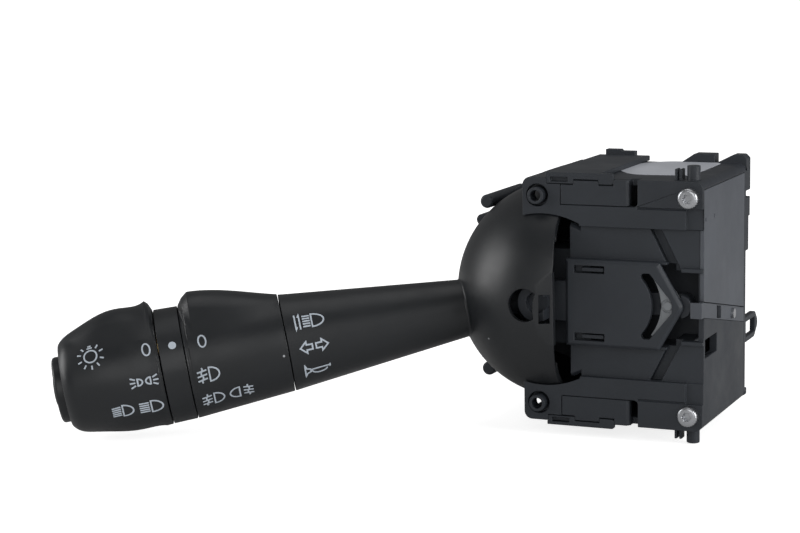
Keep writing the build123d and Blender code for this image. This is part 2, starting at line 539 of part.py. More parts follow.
with BuildPart() as rear_housing:
    with BuildSketch(face_plane(HOUSING_DEPTH)):
        with Locations(((HOUSING_LEFT + HOUSING_RIGHT) / 2, 0)):
            RectangleRounded(HOUSING_RIGHT - HOUSING_LEFT, 2 * HOUSING_HALF, HOUSING_CORNER)
        with Locations((PIVOT_X, 0)):
            Circle(SKIRT_R)
    extrude(amount=-REAR_WALL)
    with BuildSketch(face_plane(SKIRT_FRONT)):
        with Locations((PIVOT_X, 0)):
            Circle(SKIRT_R)
            Circle(SKIRT_R - SKIRT_WALL, mode=Mode.SUBTRACT)
        with Locations((HOUSING_LEFT + SKIRT_R, 0)):
            Rectangle(2 * SKIRT_R, 3 * SKIRT_R, mode=Mode.SUBTRACT)
    extrude(amount=SKIRT_FRONT - HOUSING_DEPTH)
    with BuildSketch(face_plane(SKIRT_FRONT)):
        with Locations((PIVOT_X, 0)):
            Circle(SKIRT_R)
            Circle(SKIRT_LIP_R, mode=Mode.SUBTRACT)
        with Locations((HOUSING_LEFT + SKIRT_R, 0)):
            Rectangle(2 * SKIRT_R, 3 * SKIRT_R, mode=Mode.SUBTRACT)
    extrude(amount=-SKIRT_WALL)
    for side in (-1, 1):
        peg_x, peg_z = beside_skirt(COWL_PEG_R, COWL_PEG_TURN, side, DOME_GAP)
        rod((peg_x, COWL_PEG_FRONT, peg_z), (0, 1, 0), COWL_PEG_R, REAR_FACE - COWL_PEG_FRONT)
        chamfer(rear_housing.edges().filter_by(GeomType.CIRCLE).sort_by(Axis.Y)[0], 0.5)
    bump_x, bump_z = beside_skirt(SKIRT_BUMP_R, SKIRT_BUMP_TURN, 1, DOME_GAP)
    rod((bump_x, SKIRT_BUMP_FRONT, bump_z), (0, 1, 0), SKIRT_BUMP_R, REAR_FACE - SKIRT_BUMP_FRONT)
    rod((PIVOT_X, BEARING_FRONT, 0), (0, 1, 0), JOURNAL_R + 3, HOUSING_DEPTH - BEARING_FRONT)
    rod((PIVOT_X, BEARING_FRONT - 1, 0), (0, 1, 0), JOURNAL_R + RUN_FIT, 5.4, Mode.SUBTRACT)
    # Posts that the contact carrier stands on
    post_back = BOARD_FRONT + BOARD_THICK
    for x in (BOARD_X[0] + 3, BOARD_X[1] - 3):
        for z in (3 - BOARD_HALF, BOARD_HALF - 3):
            rod((x, post_back, z), (0, 1, 0), BOARD_POST_R, HOUSING_DEPTH - post_back)
    # Flange around the back, rails along its top and the room for the connector
    foot_z, step_z, gap_low, gap_high = FLANGE_HEIGHTS
    low_back, high_back = [REAR_FACE + reach for reach in FLANGE_REACH]
    side_prism([(REAR_FACE, foot_z), (low_back, foot_z), (low_back, step_z), (high_back, step_z),
                (high_back, gap_low), (REAR_FACE, gap_low)], HOUSING_RIGHT - 2, HOUSING_RIGHT)
    block((HOUSING_RIGHT - 2, HOUSING_RIGHT), (REAR_FACE, FLANGE_BACK), (gap_high, HOUSING_HALF - 1))
    rail_foot = HOUSING_HALF - 3
    rail_top = HOUSING_HALF + RAIL_TALL
    right = HOUSING_RIGHT
    prism([(right - RAIL_WIDE + 1, rail_foot), (right - RAIL_WIDE + 1, HOUSING_HALF),
           (right - RAIL_SLOPE, rail_top), (right - HOUSING_CORNER / 2, rail_top),
           (right, rail_top - HOUSING_CORNER / 2), (right, rail_foot)], REAR_FACE, FLANGE_BACK)
    left = right - RAIL_WIDE + 1 - RAIL_GAP
    prism([(left - RAIL_WIDE, rail_foot), (left - RAIL_WIDE, HOUSING_HALF),
           (left - RAIL_WIDE + RAIL_SLOPE, rail_top), (left, rail_top),
           (left, rail_foot)], REAR_FACE, FLANGE_BACK)
    for rail_left, rail_right, tall in STUD_RAILS:
        rail_z = (rail_foot, HOUSING_HALF + tall)
        block((rail_left, rail_right), (COVER_BACK + SEAM, FLANGE_BACK), rail_z)
    flange_x = (HOUSING_LEFT + 3, HOUSING_RIGHT)
    block(flange_x, (REAR_FACE, FLANGE_BACK - 1.6), (HOUSING_HALF - 3, HOUSING_HALF - 1))
    block(flange_x, (REAR_FACE, FLANGE_BACK - 3), (1 - HOUSING_HALF, 3 - HOUSING_HALF))
    block(connector_hole_x, (HOUSING_DEPTH - 1, REAR_FACE + 1), connector_hole_z, Mode.SUBTRACT)
    for side in (-1, 1):
        rear_hole = (REAR_SCREW_X, HOUSING_DEPTH - 1, side * REAR_SCREW_Z)
        rod(rear_hole, (0, 1, 0), SCREW_SHANK_R, 4, Mode.SUBTRACT)
        # A sink for each rear screw head, where a rail stands in its way
        rod((REAR_SCREW_X, REAR_FACE, side * REAR_SCREW_Z), (0, 1, 0), SCREW_HEAD_R + GAP, 8, Mode.SUBTRACT)
finish(rear_housing, "rear_housing")

with BuildPart() as skirt_pin:
    pin_x, pin_z = beside_skirt(SKIRT_PIN_R, SKIRT_PIN_TURN, -1, SKIRT_WALL / 3)
    rod((pin_x, SKIRT_PIN_FRONT, pin_z), (0, 1, 0), SKIRT_PIN_R, SKIRT_FRONT - SKIRT_PIN_FRONT)
    chamfer(skirt_pin.faces().sort_by(Axis.Y)[0].edges(), 0.3)
finish(skirt_pin, "skirt_pin")

# Harness loop at the rear right edge
with BuildPart() as harness_loop:
    loop_mid = (LOOP_TOP + LOOP_FOOT) / 2
    loop_half = (LOOP_TOP - LOOP_FOOT) / 2
    with BuildSketch(side_plane(HOUSING_RIGHT - LOOP_BAR)) as loop_sketch:
        with BuildLine():
            Polyline((REAR_FACE, loop_mid + loop_half), (REAR_FACE + LOOP_REACH - 4, loop_mid + loop_half),
                     (REAR_FACE + LOOP_REACH, loop_mid - loop_half + 4),
                     (REAR_FACE + LOOP_REACH - 5, loop_mid - loop_half), (REAR_FACE, loop_mid - loop_half),
                     (REAR_FACE, loop_mid + loop_half))
        make_face()
        loop_span = (REAR_FACE + 1, REAR_FACE + LOOP_REACH + 1)
        corners = loop_sketch.vertices().filter_by_position(Axis.X, *loop_span)
        fillet(corners, 2.2)
        hole_low = loop_mid - loop_half + LOOP_BAR
        hole_high = loop_mid + loop_half - LOOP_BAR
        hole_width = LOOP_REACH - 2 * LOOP_BAR - 1
        with Locations((REAR_FACE + hole_width / 2, (hole_low + hole_high) / 2)):
            Rectangle(hole_width, hole_high - hole_low, mode=Mode.SUBTRACT)
    extrude(amount=LOOP_BAR)
    block((HOUSING_RIGHT - LOOP_BAR, HOUSING_RIGHT), (REAR_FACE, REAR_FACE + 0.8), (LOOP_FOOT, LOOP_TOP))
finish(harness_loop, "harness_loop")

# Connector: a rectangular socket with blade terminals
FLOOR_THICK = 2.0
TERMINAL_TIP = REAR_FACE + 9.0
TERMINAL_WIDE = 1.8
TERMINAL_THICK = 0.8
with BuildPart() as connector_shroud:
    block(CONNECTOR_X, (REAR_FACE, CONNECTOR_BACK), CONNECTOR_Z)
    block(connector_hole_x, (REAR_FACE + FLOOR_THICK, CONNECTOR_BACK + 1), connector_hole_z, Mode.SUBTRACT)
    with Locations(face_plane(REAR_FACE - 1)):
        with Locations(((CONNECTOR_X[0] + CONNECTOR_X[1]) / 2, (CONNECTOR_Z[0] + CONNECTOR_Z[1]) / 2)):
            with GridLocations(3.6, 7.0, 6, 2):
                Box(TERMINAL_WIDE, TERMINAL_THICK, 12, mode=Mode.SUBTRACT)
finish(connector_shroud, "connector_shroud")

with BuildPart() as connector_terminals:
    blade = TERMINAL_TIP - post_back
    with Locations(face_plane(post_back + blade / 2)):
        with Locations(((CONNECTOR_X[0] + CONNECTOR_X[1]) / 2, (CONNECTOR_Z[0] + CONNECTOR_Z[1]) / 2)):
            with GridLocations(3.6, 7.0, 6, 2):
                Box(TERMINAL_WIDE, TERMINAL_THICK, blade)
finish(connector_terminals, "connector_terminals")

# Contact carrier with two rails that guide the indicator carriage, and its contact tracks
CARRIAGE_X = (19.0, 29.0)
CARRIAGE_FRONT = BOARD_FRONT - 6.0
CARRIAGE_HALF = 9.0
RAIL_HALF = 14.0
RAIL_THICK = 1.2
TRACK_THICK = 0.3
TRACK_MID = 3.5
TRACK_BREAK = 2.0
TRACK_WIDE = 2.4
with BuildPart() as contact_carrier:
    block(BOARD_X, (BOARD_FRONT, post_back), (-BOARD_HALF, BOARD_HALF))
    left_rail = (CARRIAGE_X[0] - GAP - RAIL_THICK, CARRIAGE_X[0] - GAP)
    right_rail = (CARRIAGE_X[1] + GAP, CARRIAGE_X[1] + GAP + RAIL_THICK)
    for rail in (left_rail, right_rail):
        block(rail, (CARRIAGE_FRONT + 1, BOARD_FRONT), (-RAIL_HALF, RAIL_HALF))
finish(contact_carrier, "contact_carrier")

with BuildPart() as contact_tracks:
    track_end = RAIL_HALF - 1
    outer_track = TRACK_MID + TRACK_BREAK
    for column in (CARRIAGE_X[0] + TRACK_WIDE, CARRIAGE_X[1] - TRACK_WIDE):
        for low, high in ((-track_end, -outer_track), (-TRACK_MID, TRACK_MID), (outer_track, track_end)):
            track_x = (column - TRACK_WIDE / 2, column + TRACK_WIDE / 2)
            block(track_x, (BOARD_FRONT - TRACK_THICK, BOARD_FRONT), (low, high))
finish(contact_tracks, "contact_tracks")

# Indicator carriage, with a slot for the yoke's finger
FINGER_X = 24.0
FINGER_R = 1.8
with BuildPart() as indicator_carriage:
    block(CARRIAGE_X, (CARRIAGE_FRONT, BOARD_FRONT - TRACK_THICK - GAP), (-CARRIAGE_HALF, CARRIAGE_HALF))
    fillet(indicator_carriage.edges().filter_by(Axis.Y), 1.0)
    slot_half = (FINGER_R + 2 * GAP + 0.3, FINGER_R + GAP)
    slot_x = (FINGER_X - slot_half[0], FINGER_X + slot_half[0])
    block(slot_x, (CARRIAGE_FRONT - 1, BOARD_FRONT - 2), (-slot_half[1], slot_half[1]), Mode.SUBTRACT)
finish(indicator_carriage, "indicator_carriage")

# Bushings in the ears, and the screws
with BuildPart() as mount_bushings:
    for side in (-1, 1):
        length = FRONT_WALL + BUSHING_PROUD
        rod((0, -BUSHING_PROUD, side * HOLE_Z), (0, 1, 0), BUSHING_R, length)
        rod((0, -BUSHING_PROUD - 1, side * HOLE_Z), (0, 1, 0), BUSHING_BORE_R, length + 2, Mode.SUBTRACT)
finish(mount_bushings, "mount_bushings")


def screw(x, y, z, direction):
    """A pan-head screw with a six-sided socket, its head seated at a point."""
    rod((x, y, z), direction, SCREW_SHANK_R, SCREW_LENGTH)
    back = Vector(*direction) * -1
    rod((x, y, z), back, SCREW_HEAD_R, SCREW_HEAD_TALL)
    top = Vector(x, y, z) + back * SCREW_HEAD_TALL
    with BuildSketch(Plane(origin=top, z_dir=back)) as socket:
        RegularPolygon(1.5, 6)
    extrude(socket.sketch, amount=-1.4, mode=Mode.SUBTRACT)


with BuildPart() as front_screws:
    for side in (-1, 1):
        screw(SCREW_X, 0, side * SCREW_Z, (0, 1, 0))
finish(front_screws, "front_screws")

with BuildPart() as rear_screws:
    for side in (-1, 1):
        screw(REAR_SCREW_X, REAR_FACE, side * REAR_SCREW_Z, (0, -1, 0))
finish(rear_screws, "rear_screws")

# Yoke of the gimbal: two plates joined by webs, a journal at each end and a tail to the right
YOKE_HALF = 11.2
YOKE_PLATE = 3.0
YOKE_LEFT = -5.0
YOKE_RIGHT = 12.0
WEB = 3.0
TAIL_END = 26.0
TAIL_Y = (PIVOT_Y - 6.0, PIVOT_Y + 6.0)
TAIL_HALF = 5.0
PLUNGER_R = 2.0
PLUNGER_BACK = 16.5
HUB_R = 7.5
HUB_HALF = 9.4
DIP_PIN_X = 8.5
DIP_PIN_R = 1.2
pull_shift = (DIP_PIN_X - PIVOT_X) * sin(radians(PULL_ANGLE))
yoke_top = YOKE_HALF + YOKE_PLATE
with BuildPart() as gimbal_yoke:
    for low, high in ((YOKE_HALF, yoke_top), (-yoke_top, -YOKE_HALF)):
        block((YOKE_LEFT, YOKE_RIGHT), (YOKE_FRONT, YOKE_BACK), (low, high))
    fillet(gimbal_yoke.edges().filter_by(Axis.Z), 3.0)
    for low, high in ((YOKE_FRONT, YOKE_FRONT + WEB), (YOKE_BACK - WEB, YOKE_BACK)):
        block((YOKE_LEFT + 3, YOKE_RIGHT - 3), (low, high), (-YOKE_HALF, YOKE_HALF))
    # The tail, hung between the plates by a post clear of the lever's hub
    block((YOKE_RIGHT - 1.5, TAIL_END), TAIL_Y, (-TAIL_HALF, TAIL_HALF))
    block((YOKE_RIGHT - 1.5, YOKE_RIGHT), TAIL_Y, (-YOKE_HALF, YOKE_HALF))
    rod((FINGER_X, TAIL_Y[1], 0), (0, 1, 0), FINGER_R, BOARD_FRONT - 3 - TAIL_Y[1])
    rod((PIVOT_X, YOKE_FRONT, 0), (0, -1, 0), JOURNAL_R, YOKE_FRONT - JOURNAL_TIP)
    rod((PIVOT_X, YOKE_BACK, 0), (0, 1, 0), JOURNAL_R, BEARING_FRONT + 4 - YOKE_BACK)
    rod((PIVOT_X, YOKE_FRONT, 0), (0, -1, 0), JOURNAL_R + 1.6, YOKE_FRONT - FRONT_WALL - GAP)
    rod((PIVOT_X, PIVOT_Y, -yoke_top - 1), (0, 0, 1), 2.5 + RUN_FIT, 2 * yoke_top + 2, Mode.SUBTRACT)
    rod((PLUNGER_BACK - 3, PIVOT_Y, 0), (1, 0, 0), PLUNGER_R + RUN_FIT, 20, Mode.SUBTRACT)
    # The slot that the lever's dip pin moves in
    dip_slot_x = (DIP_PIN_X - DIP_PIN_R - GAP, DIP_PIN_X + DIP_PIN_R + GAP)
    dip_slot_y = (PIVOT_Y - DIP_PIN_R - GAP, PIVOT_Y + pull_shift + DIP_PIN_R + GAP)
    block(dip_slot_x, dip_slot_y, (YOKE_HALF - 1, yoke_top + 1), Mode.SUBTRACT)
finish(gimbal_yoke, "gimbal_yoke")

# Detent: the plunger in the tail, its spring and the track it rides on
TRACK_CLEAR = 0.5
PLUNGER_TIP = 29.6
with BuildPart() as detent_plunger:
    rod((PLUNGER_BACK, PIVOT_Y, 0), (1, 0, 0), PLUNGER_R, PLUNGER_TIP - PLUNGER_R - PLUNGER_BACK)
    with Locations((PLUNGER_TIP - PLUNGER_R, PIVOT_Y, 0)):
        Sphere(PLUNGER_R)
finish(detent_plunger, "detent_plunger")

with BuildPart() as detent_spring:
    spring((PLUNGER_BACK - 2.6, PIVOT_Y, 0), (1, 0, 0), 1.4, 0.3, 0.9, 1.3)
finish(detent_spring, "detent_spring")

TRACK_BACK = 35.0
TRACK_HALF = 11.0
track_r = PLUNGER_TIP - PIVOT_X + TRACK_CLEAR
with BuildPart() as detent_track:
    with BuildSketch(face_plane(TAIL_Y[0])):
        with Locations(((TRACK_BACK + PLUNGER_TIP - 4) / 2, 0)):
            Rectangle(TRACK_BACK - PLUNGER_TIP + 4, 2 * TRACK_HALF)
        with Locations((PIVOT_X, 0)):
            Circle(track_r, mode=Mode.SUBTRACT)
            with PolarLocations(track_r - 0.6, 3, start_angle=-TILT_ANGLE, angular_range=3 * TILT_ANGLE):
                Circle(PLUNGER_R - 0.2, mode=Mode.SUBTRACT)
    extrude(amount=TAIL_Y[0] - TAIL_Y[1])
    block((TRACK_BACK, inner_right), TAIL_Y, (-TRACK_HALF, TRACK_HALF))
finish(detent_track, "detent_track")

# Dip slider on the yoke, moved by the lever's dip pin
with BuildPart() as dip_slider:
    slider_low = yoke_top + GAP
    block((DIP_PIN_X - 3, DIP_PIN_X + 3), (PIVOT_Y - 4.5, PIVOT_Y + 4.5), (slider_low, slider_low + 2.6))
    fillet(dip_slider.edges().filter_by(Axis.Z), 0.8)
    rod((DIP_PIN_X, PIVOT_Y, slider_low - 1), (0, 0, 1), DIP_PIN_R + GAP, 5, Mode.SUBTRACT)
finish(dip_slider, "dip_slider")

# Lever core: the hub that turns in the yoke and the tube that carries the turning switches
with BuildPart() as lever_core:
    rod((PIVOT_X, PIVOT_Y, -HUB_HALF), (0, 0, 1), HUB_R, 2 * HUB_HALF)
    turned(sleeve(0, TUBE_END, TUBE_R, TUBE_R, 0, 0))
    turned(sleeve(HUB_R + 4, TUBE_END + 1, TUBE_BORE_R, TUBE_BORE_R, 0, 0), Mode.SUBTRACT)
    rod((DIP_PIN_X - 1.8, PIVOT_Y, HUB_HALF - 1), (0, 0, 1), 2.6, 1 + GAP)
    rod((DIP_PIN_X, PIVOT_Y, HUB_HALF - 2), (0, 0, 1), DIP_PIN_R, yoke_top + GAP + 2.6 - HUB_HALF + 2)
    rod((PIVOT_X, PIVOT_Y, -HUB_HALF - 1), (0, 0, 1), 2.5, 2 * HUB_HALF + 4, Mode.SUBTRACT)
finish(lever_core, "lever_core")

with BuildPart() as lever_pivot_pin:
    rod((PIVOT_X, PIVOT_Y, -yoke_top), (0, 0, 1), 2.5, 2 * yoke_top)
    chamfer(lever_pivot_pin.edges().filter_by(GeomType.CIRCLE), 0.4)
finish(lever_pivot_pin, "lever_pivot_pin")

with BuildPart() as flash_return_spring:
    spring((PIVOT_X, PIVOT_Y, -YOKE_HALF + 0.75), (0, 0, 1), 3.6, 0.3, 0.75, 0.75)
finish(flash_return_spring, "flash_return_spring")

# Lever shell: the dome and the cone in one moulding, turned about the lever's axis
ROOT_BLEND = 0.8
COLLAR_END = CONE_START + 9
cone_slope = (CONE_END_R - CONE_START_R) / (CONE_END - CONE_START)
flat_tilt = radians(FLAT_TURN)
flat_drop = radians(FLAT_DROP)
flat_normal = Vector(sin(flat_tilt) * cos(flat_drop), -cos(flat_tilt) * cos(flat_drop), -sin(flat_drop))
flat_plane = Plane(origin=PIVOT, x_dir=(cos(flat_tilt), sin(flat_tilt), 0), z_dir=flat_normal)
flat_height = sqrt(DOME_R ** 2 - FLAT_R ** 2)


def cone_r(along):
    """The outer radius of the cone at a place along the lever."""
    return CONE_START_R + cone_slope * (along - CONE_START)


with BuildPart() as lever_shell:
    with BuildSketch(LEVER_PROFILE):
        with BuildLine():
            corner = Vector(CONE_START_R, sqrt(DOME_R ** 2 - CONE_START_R ** 2))
            on_dome = Vector(CONE_START_R + ROOT_BLEND, sqrt(DOME_R ** 2 - (CONE_START_R + ROOT_BLEND) ** 2))
            on_cone = Vector(cone_r(corner.Y + ROOT_BLEND), corner.Y + ROOT_BLEND)
            bend = (on_dome + on_cone) * 0.2 + corner * 0.6
            mouth = Vector(TUBE_R, sqrt(DOME_INNER ** 2 - TUBE_R ** 2))
            ThreePointArc((0, -DOME_R), (DOME_R, 0), on_dome)
            ThreePointArc(on_dome, bend, on_cone)
            Polyline(on_cone, (CONE_END_R, CONE_END), (CONE_END_R - CONE_WALL, CONE_END),
                     (cone_r(COLLAR_END) - CONE_WALL, COLLAR_END), (TUBE_R, COLLAR_END), mouth)
            ThreePointArc(mouth, (DOME_INNER, 0), (0, -DOME_INNER))
            Line((0, -DOME_INNER), (0, -DOME_R))
        make_face()
    revolve(axis=LEVER_AXIS)
    # The wall that closes the rim in front of the guide plate
    reach = 2 * DOME_R
    with BuildSketch(side_plane(DOME_RIM_X - DOME_WALL)) as rim_wall:
        with Locations((PIVOT_Y, 0)):
            Circle(sqrt(DOME_R ** 2 - (DOME_RIM_X - PIVOT_X) ** 2) - DOME_WALL / 3)
        with Locations((DOME_WEB_BACK + reach, 0)):
            Rectangle(2 * reach, 2 * reach, mode=Mode.SUBTRACT)
    extrude(rim_wall.sketch, amount=DOME_WALL)
    # The round hole in front of the journal, and the flat facet that leans towards the column
    rod((DOME_HOLE_X, -DOME_R, 0), (0, 1, 0), DOME_HOLE_R, DOME_R + 6, Mode.SUBTRACT)
    with BuildSketch(flat_plane.offset(flat_height)):
        Circle(FLAT_R + 4)
    extrude(amount=8, mode=Mode.SUBTRACT)
    with BuildSketch(flat_plane.offset(flat_height)):
        Circle(FLAT_R - SEAM)
    extrude(amount=-DOME_WALL)
    with BuildSketch(flat_plane.offset(flat_height + 1)):
        with Locations((SLOT_PLACE, 0)):
            Rectangle(SLOT_WIDE, SLOT_TALL)
    extrude(amount=-DOME_WALL - 2, mode=Mode.SUBTRACT)
    # Cut open towards the housing, where the rim falls back above and below, and at the back
    bend_low, bend_high = DOME_RIM_BEND
    rim_top = [(reach, 0), (reach, reach), (DOME_RIM_SIDE_X, reach), (DOME_RIM_SIDE_X, bend_high),
               (DOME_RIM_X, bend_low), (DOME_RIM_X, 0)]
    for side in (-1, 1):
        prism([(x, side * z) for x, z in rim_top], -reach, 2 * reach, Mode.SUBTRACT)
    block((-reach, reach), (DOME_BACK_Y, 2 * reach), (-reach, reach), Mode.SUBTRACT)
finish(lever_shell, "lever_shell")


def egg(along, base_r, crest_h):
    """A round section whose top is drawn up into a narrower crest."""
    rise = crest_h - CREST_R
    lean_sine = (base_r - CREST_R) / rise
    lean_cosine = sqrt(1 - lean_sine ** 2)
    # In this plane X is up, so the crest lies along +X
    left = (base_r * lean_sine, base_r * lean_cosine)
    right = (base_r * lean_sine, -base_r * lean_cosine)
    top_left = (rise + CREST_R * lean_sine, CREST_R * lean_cosine)
    top_right = (rise + CREST_R * lean_sine, -CREST_R * lean_cosine)
    with BuildSketch(lever_plane(along)) as section:
        with BuildLine():
            ThreePointArc(left, (-base_r, 0), right)
            Line(right, top_right)
            ThreePointArc(top_right, (crest_h, 0), top_left)
            Line(top_left, left)
        make_face()
    return section.sketch.face()


# Fog lamp ring, with its thumb crest
FOG_START = CONE_END + GAP
fog_slope = (FOG_END_R - CONE_END_R) / (FOG_END - CONE_END)
fog_rise = [(FOG_START, CONE_END_R + GAP)]
fog_climb = FOG_CREST - FOG_START
fog_rise += [(FOG_START + way * fog_climb, tall * FOG_CREST_H) for way, tall in FOG_RISE_SHARES]
fog_rise += [(FOG_CREST, FOG_CREST_H)]
fall_share, fall_tall = FOG_FALL_SHARE
fall_mid = FOG_CREST + fall_share * (FOG_END - FOG_CREST)
fog_fall = [(FOG_CREST, FOG_CREST_H), (fall_mid, fall_tall * FOG_CREST_H), (FOG_END, FOG_END_R + GAP)]


def fog_base(along):
    """The radius of the fog ring away from its crest."""
    return CONE_END_R + fog_slope * (along - CONE_END)


with BuildPart() as fog_ring:
    for crest, straight in ((fog_rise, False), (fog_fall, True)):
        loft([egg(along, fog_base(along), crest_h) for along, crest_h in crest], ruled=straight)
    turned(sleeve(FOG_START - 1, FOG_WEB[0], CONE_END_R - 2.2, CONE_END_R - 1.6, 0, 0), Mode.SUBTRACT)
    turned(sleeve(FOG_WEB[1], FOG_END + 1, CONE_END_R - 0.8, FOG_END_R - 2.0, 0, 0), Mode.SUBTRACT)
    turned(sleeve(FOG_START - 1, FOG_END + 1, TUBE_R + RUN_FIT, TUBE_R + RUN_FIT, 0, 0), Mode.SUBTRACT)
finish(fog_ring, "fog_ring")

# Contact ring on the tube and the wiper on the fog ring
CONTACT_THICK = 2.0
CONTACT_R = TUBE_R + 6.0
with BuildPart() as fog_contact_ring:
    contact_end = FOG_WEB[0] - CONTACT_THICK
    turned(sleeve(contact_end - CONTACT_THICK, contact_end, CONTACT_R, CONTACT_R, TUBE_R, TUBE_R))
finish(fog_contact_ring, "fog_contact_ring")


def wiper(start, end):
    """Three sprung contact fingers on an arc about the tube."""
    with BuildSketch(lever_plane(start)) as fingers:
        with PolarLocations(8.5, 3, start_angle=-40, angular_range=120):
            Rectangle(1.6, 3.4)
    extrude(fingers.sketch, amount=end - start)


with BuildPart() as fog_wiper:
    wiper(FOG_WEB[0] - CONTACT_THICK + GAP, FOG_WEB[0])
finish(fog_wiper, "fog_wiper")

# Index ring between the two turning switches, fixed to the tube
INDEX_START = FOG_END + GAP
with BuildPart() as index_ring:
    turned(sleeve(INDEX_START, INDEX_END, FOG_END_R, INDEX_END_R, TUBE_R, TUBE_R))
    turned(sleeve(INDEX_START - 1, INDEX_END - 2, 14.6, 14.6, TUBE_R + 2, TUBE_R + 2), Mode.SUBTRACT)
finish(index_ring, "index_ring")

# Light knob: egg-shaped grip that closes down to its nose

def knob_sections(start, end, shares):
    """Sections of the knob between two places, from shares of the way, the radius and the crest."""
    run = end - start
    return [egg(start + way * run, KNOB_R * wide, KNOB_CREST_H * tall) for way, wide, tall in shares]


with BuildPart() as light_knob:
    loft(knob_sections(KNOB_START, KNOB_CREST, KNOB_RISE_SHARES), ruled=True)
    loft(knob_sections(KNOB_CREST, KNOB_END, KNOB_FALL_SHARES))
    bore = KNOB_R - KNOB_SHELL
    turned(sleeve(KNOB_START - 1, KNOB_WEB[0], bore, bore, 0, 0), Mode.SUBTRACT)
    neck = KNOB_WEB[1] + 0.52 * (KNOB_END - KNOB_WEB[1])
    hollow = [(KNOB_WEB[1], 0), (KNOB_WEB[1], bore), (neck, bore - 1.1), (KNOB_END - 2, bore - 2.7),
              (KNOB_END - 2, 0)]
    turned(hollow, Mode.SUBTRACT)
    turned(sleeve(KNOB_START, KNOB_WEB[1] + 1, TUBE_R + RUN_FIT, TUBE_R + RUN_FIT, 0, 0), Mode.SUBTRACT)
    with BuildSketch(lever_plane(KNOB_END - 4)):
        with Locations((-HORN_DROP, 0)):
            Circle(HORN_R + GAP)
    extrude(amount=6, mode=Mode.SUBTRACT)
finish(light_knob, "light_knob")

with BuildPart() as light_wiper:
    wiper(INDEX_END + GAP, KNOB_WEB[0])
finish(light_wiper, "light_wiper")

RETAINER_R = 6.2
with BuildPart() as knob_retainer:
    turned(sleeve(KNOB_WEB[1] + GAP, TUBE_END - 0.2, RETAINER_R, RETAINER_R, TUBE_R, TUBE_R))
finish(knob_retainer, "knob_retainer")

# Horn button with its rod, spring and contact
HORN_SKIRT = 9.0
HORN_PLATE = 1.2
with BuildPart() as horn_button:
    with BuildSketch(lever_plane(KNOB_END + HORN_PROUD - HORN_SKIRT)):
        with Locations((-HORN_DROP, 0)):
            Circle(HORN_R)
    extrude(amount=HORN_SKIRT)
    fillet(horn_button.faces().sort_by(Axis(PIVOT, LEVER_DIR))[-1].edges(), 1.0)
    with BuildSketch(lever_plane(KNOB_END + HORN_PROUD)):
        with Locations((-HORN_DROP, 0)):
            Ellipse(4.6, 6.6)
    extrude(amount=0.5)
    with BuildSketch(lever_plane(KNOB_END + HORN_PROUD - HORN_SKIRT)):
        with Locations((-HORN_DROP, 0)):
            Circle(HORN_R - 1.6)
    extrude(amount=HORN_SKIRT - 2, mode=Mode.SUBTRACT)
finish(horn_button, "horn_button")

HORN_FACE = KNOB_END + HORN_PROUD - 2
ROD_TIP = TUBE_END + HORN_TRAVEL - 0.8 + GAP
with BuildPart() as horn_push_rod:
    turned(sleeve(ROD_TIP, HORN_FACE, 1.5, 1.5, 0, 0))
    turned(sleeve(HORN_FACE - HORN_PLATE, HORN_FACE, 4.0, 4.0, 0, 0))
finish(horn_push_rod, "horn_push_rod")

with BuildPart() as horn_contact:
    turned(sleeve(TUBE_END - 3, TUBE_END - 0.8, TUBE_BORE_R, TUBE_BORE_R, 0, 0))
finish(horn_contact, "horn_contact")

HORN_COIL_R = 6.8
with BuildPart() as horn_spring:
    start = PIVOT + LEVER_DIR * (KNOB_WEB[1] + 0.4)
    coil_length = HORN_FACE - HORN_PLATE - HORN_TRAVEL - KNOB_WEB[1] - 1.4
    spring(start, LEVER_DIR, HORN_COIL_R, 0.35, 3.4, coil_length)
finish(horn_spring, "horn_spring")

# Cancelling pawl: the light V seen through the arc slot, on a dark arm with its hub and nose
pawl_back = PAWL_FRONT + PAWL_THICK
pawl_arm_back = pawl_back + PAWL_ARM_THICK
v_top = [(PAWL_X + x, z) for x, z in V_POINTS]
with BuildPart() as cancel_pawl:
    prism(v_top + [(x, -z) for x, z in reversed(v_top)], PAWL_FRONT, pawl_back)
    rod((PAWL_X, PAWL_FRONT - 1, 0), (0, 1, 0), SLOT_RADIUS + 2, PAWL_THICK + 2, Mode.SUBTRACT)
    # A small pin with a ring groove round it
    v_pin = (PAWL_X + V_PIN_X, PAWL_FRONT, 0)
    rod(v_pin, (0, 1, 0), V_PIN_R + 0.7, 0.5, Mode.SUBTRACT)
    rod(v_pin, (0, 1, 0), V_PIN_R, 0.6)
    rod(v_pin, (0, -1, 0), V_PIN_R, 0.3)
finish(cancel_pawl, "cancel_pawl")

with BuildPart() as pawl_arm:
    hub_front = PAWL_FRONT + 1.4
    rod((PAWL_X, hub_front, 0), (0, 1, 0), PAWL_HUB_R, pawl_arm_back - hub_front)
    arm = [(PAWL_X, PAWL_NOSE_R), (PAWL_NOSE_X, PAWL_NOSE_R - 0.2)]
    prism(arm + [(x, -z) for x, z in reversed(arm)], pawl_back, pawl_arm_back)
    rod((PAWL_NOSE_X, PAWL_FRONT, 0), (0, 1, 0), PAWL_NOSE_R, pawl_arm_back - PAWL_FRONT)
    # Only the nose reaches the front, beyond the V
    nose_cut = (PAWL_NOSE_X - PAWL_NOSE_R - 1, PAWL_NOSE_X + GAP)
    block(nose_cut, (PAWL_FRONT - 1, pawl_back), (-PAWL_HUB_R, PAWL_HUB_R), Mode.SUBTRACT)
    rod((PAWL_X, 0, 0), (0, 1, 0), PAWL_PIN_R + RUN_FIT, 10, Mode.SUBTRACT)
finish(pawl_arm, "pawl_arm")

with BuildPart() as pawl_pin:
    rod((PAWL_X, 0, 0), (0, 1, 0), PAWL_PIN_R, POCKET_BACK)
finish(pawl_pin, "pawl_pin")

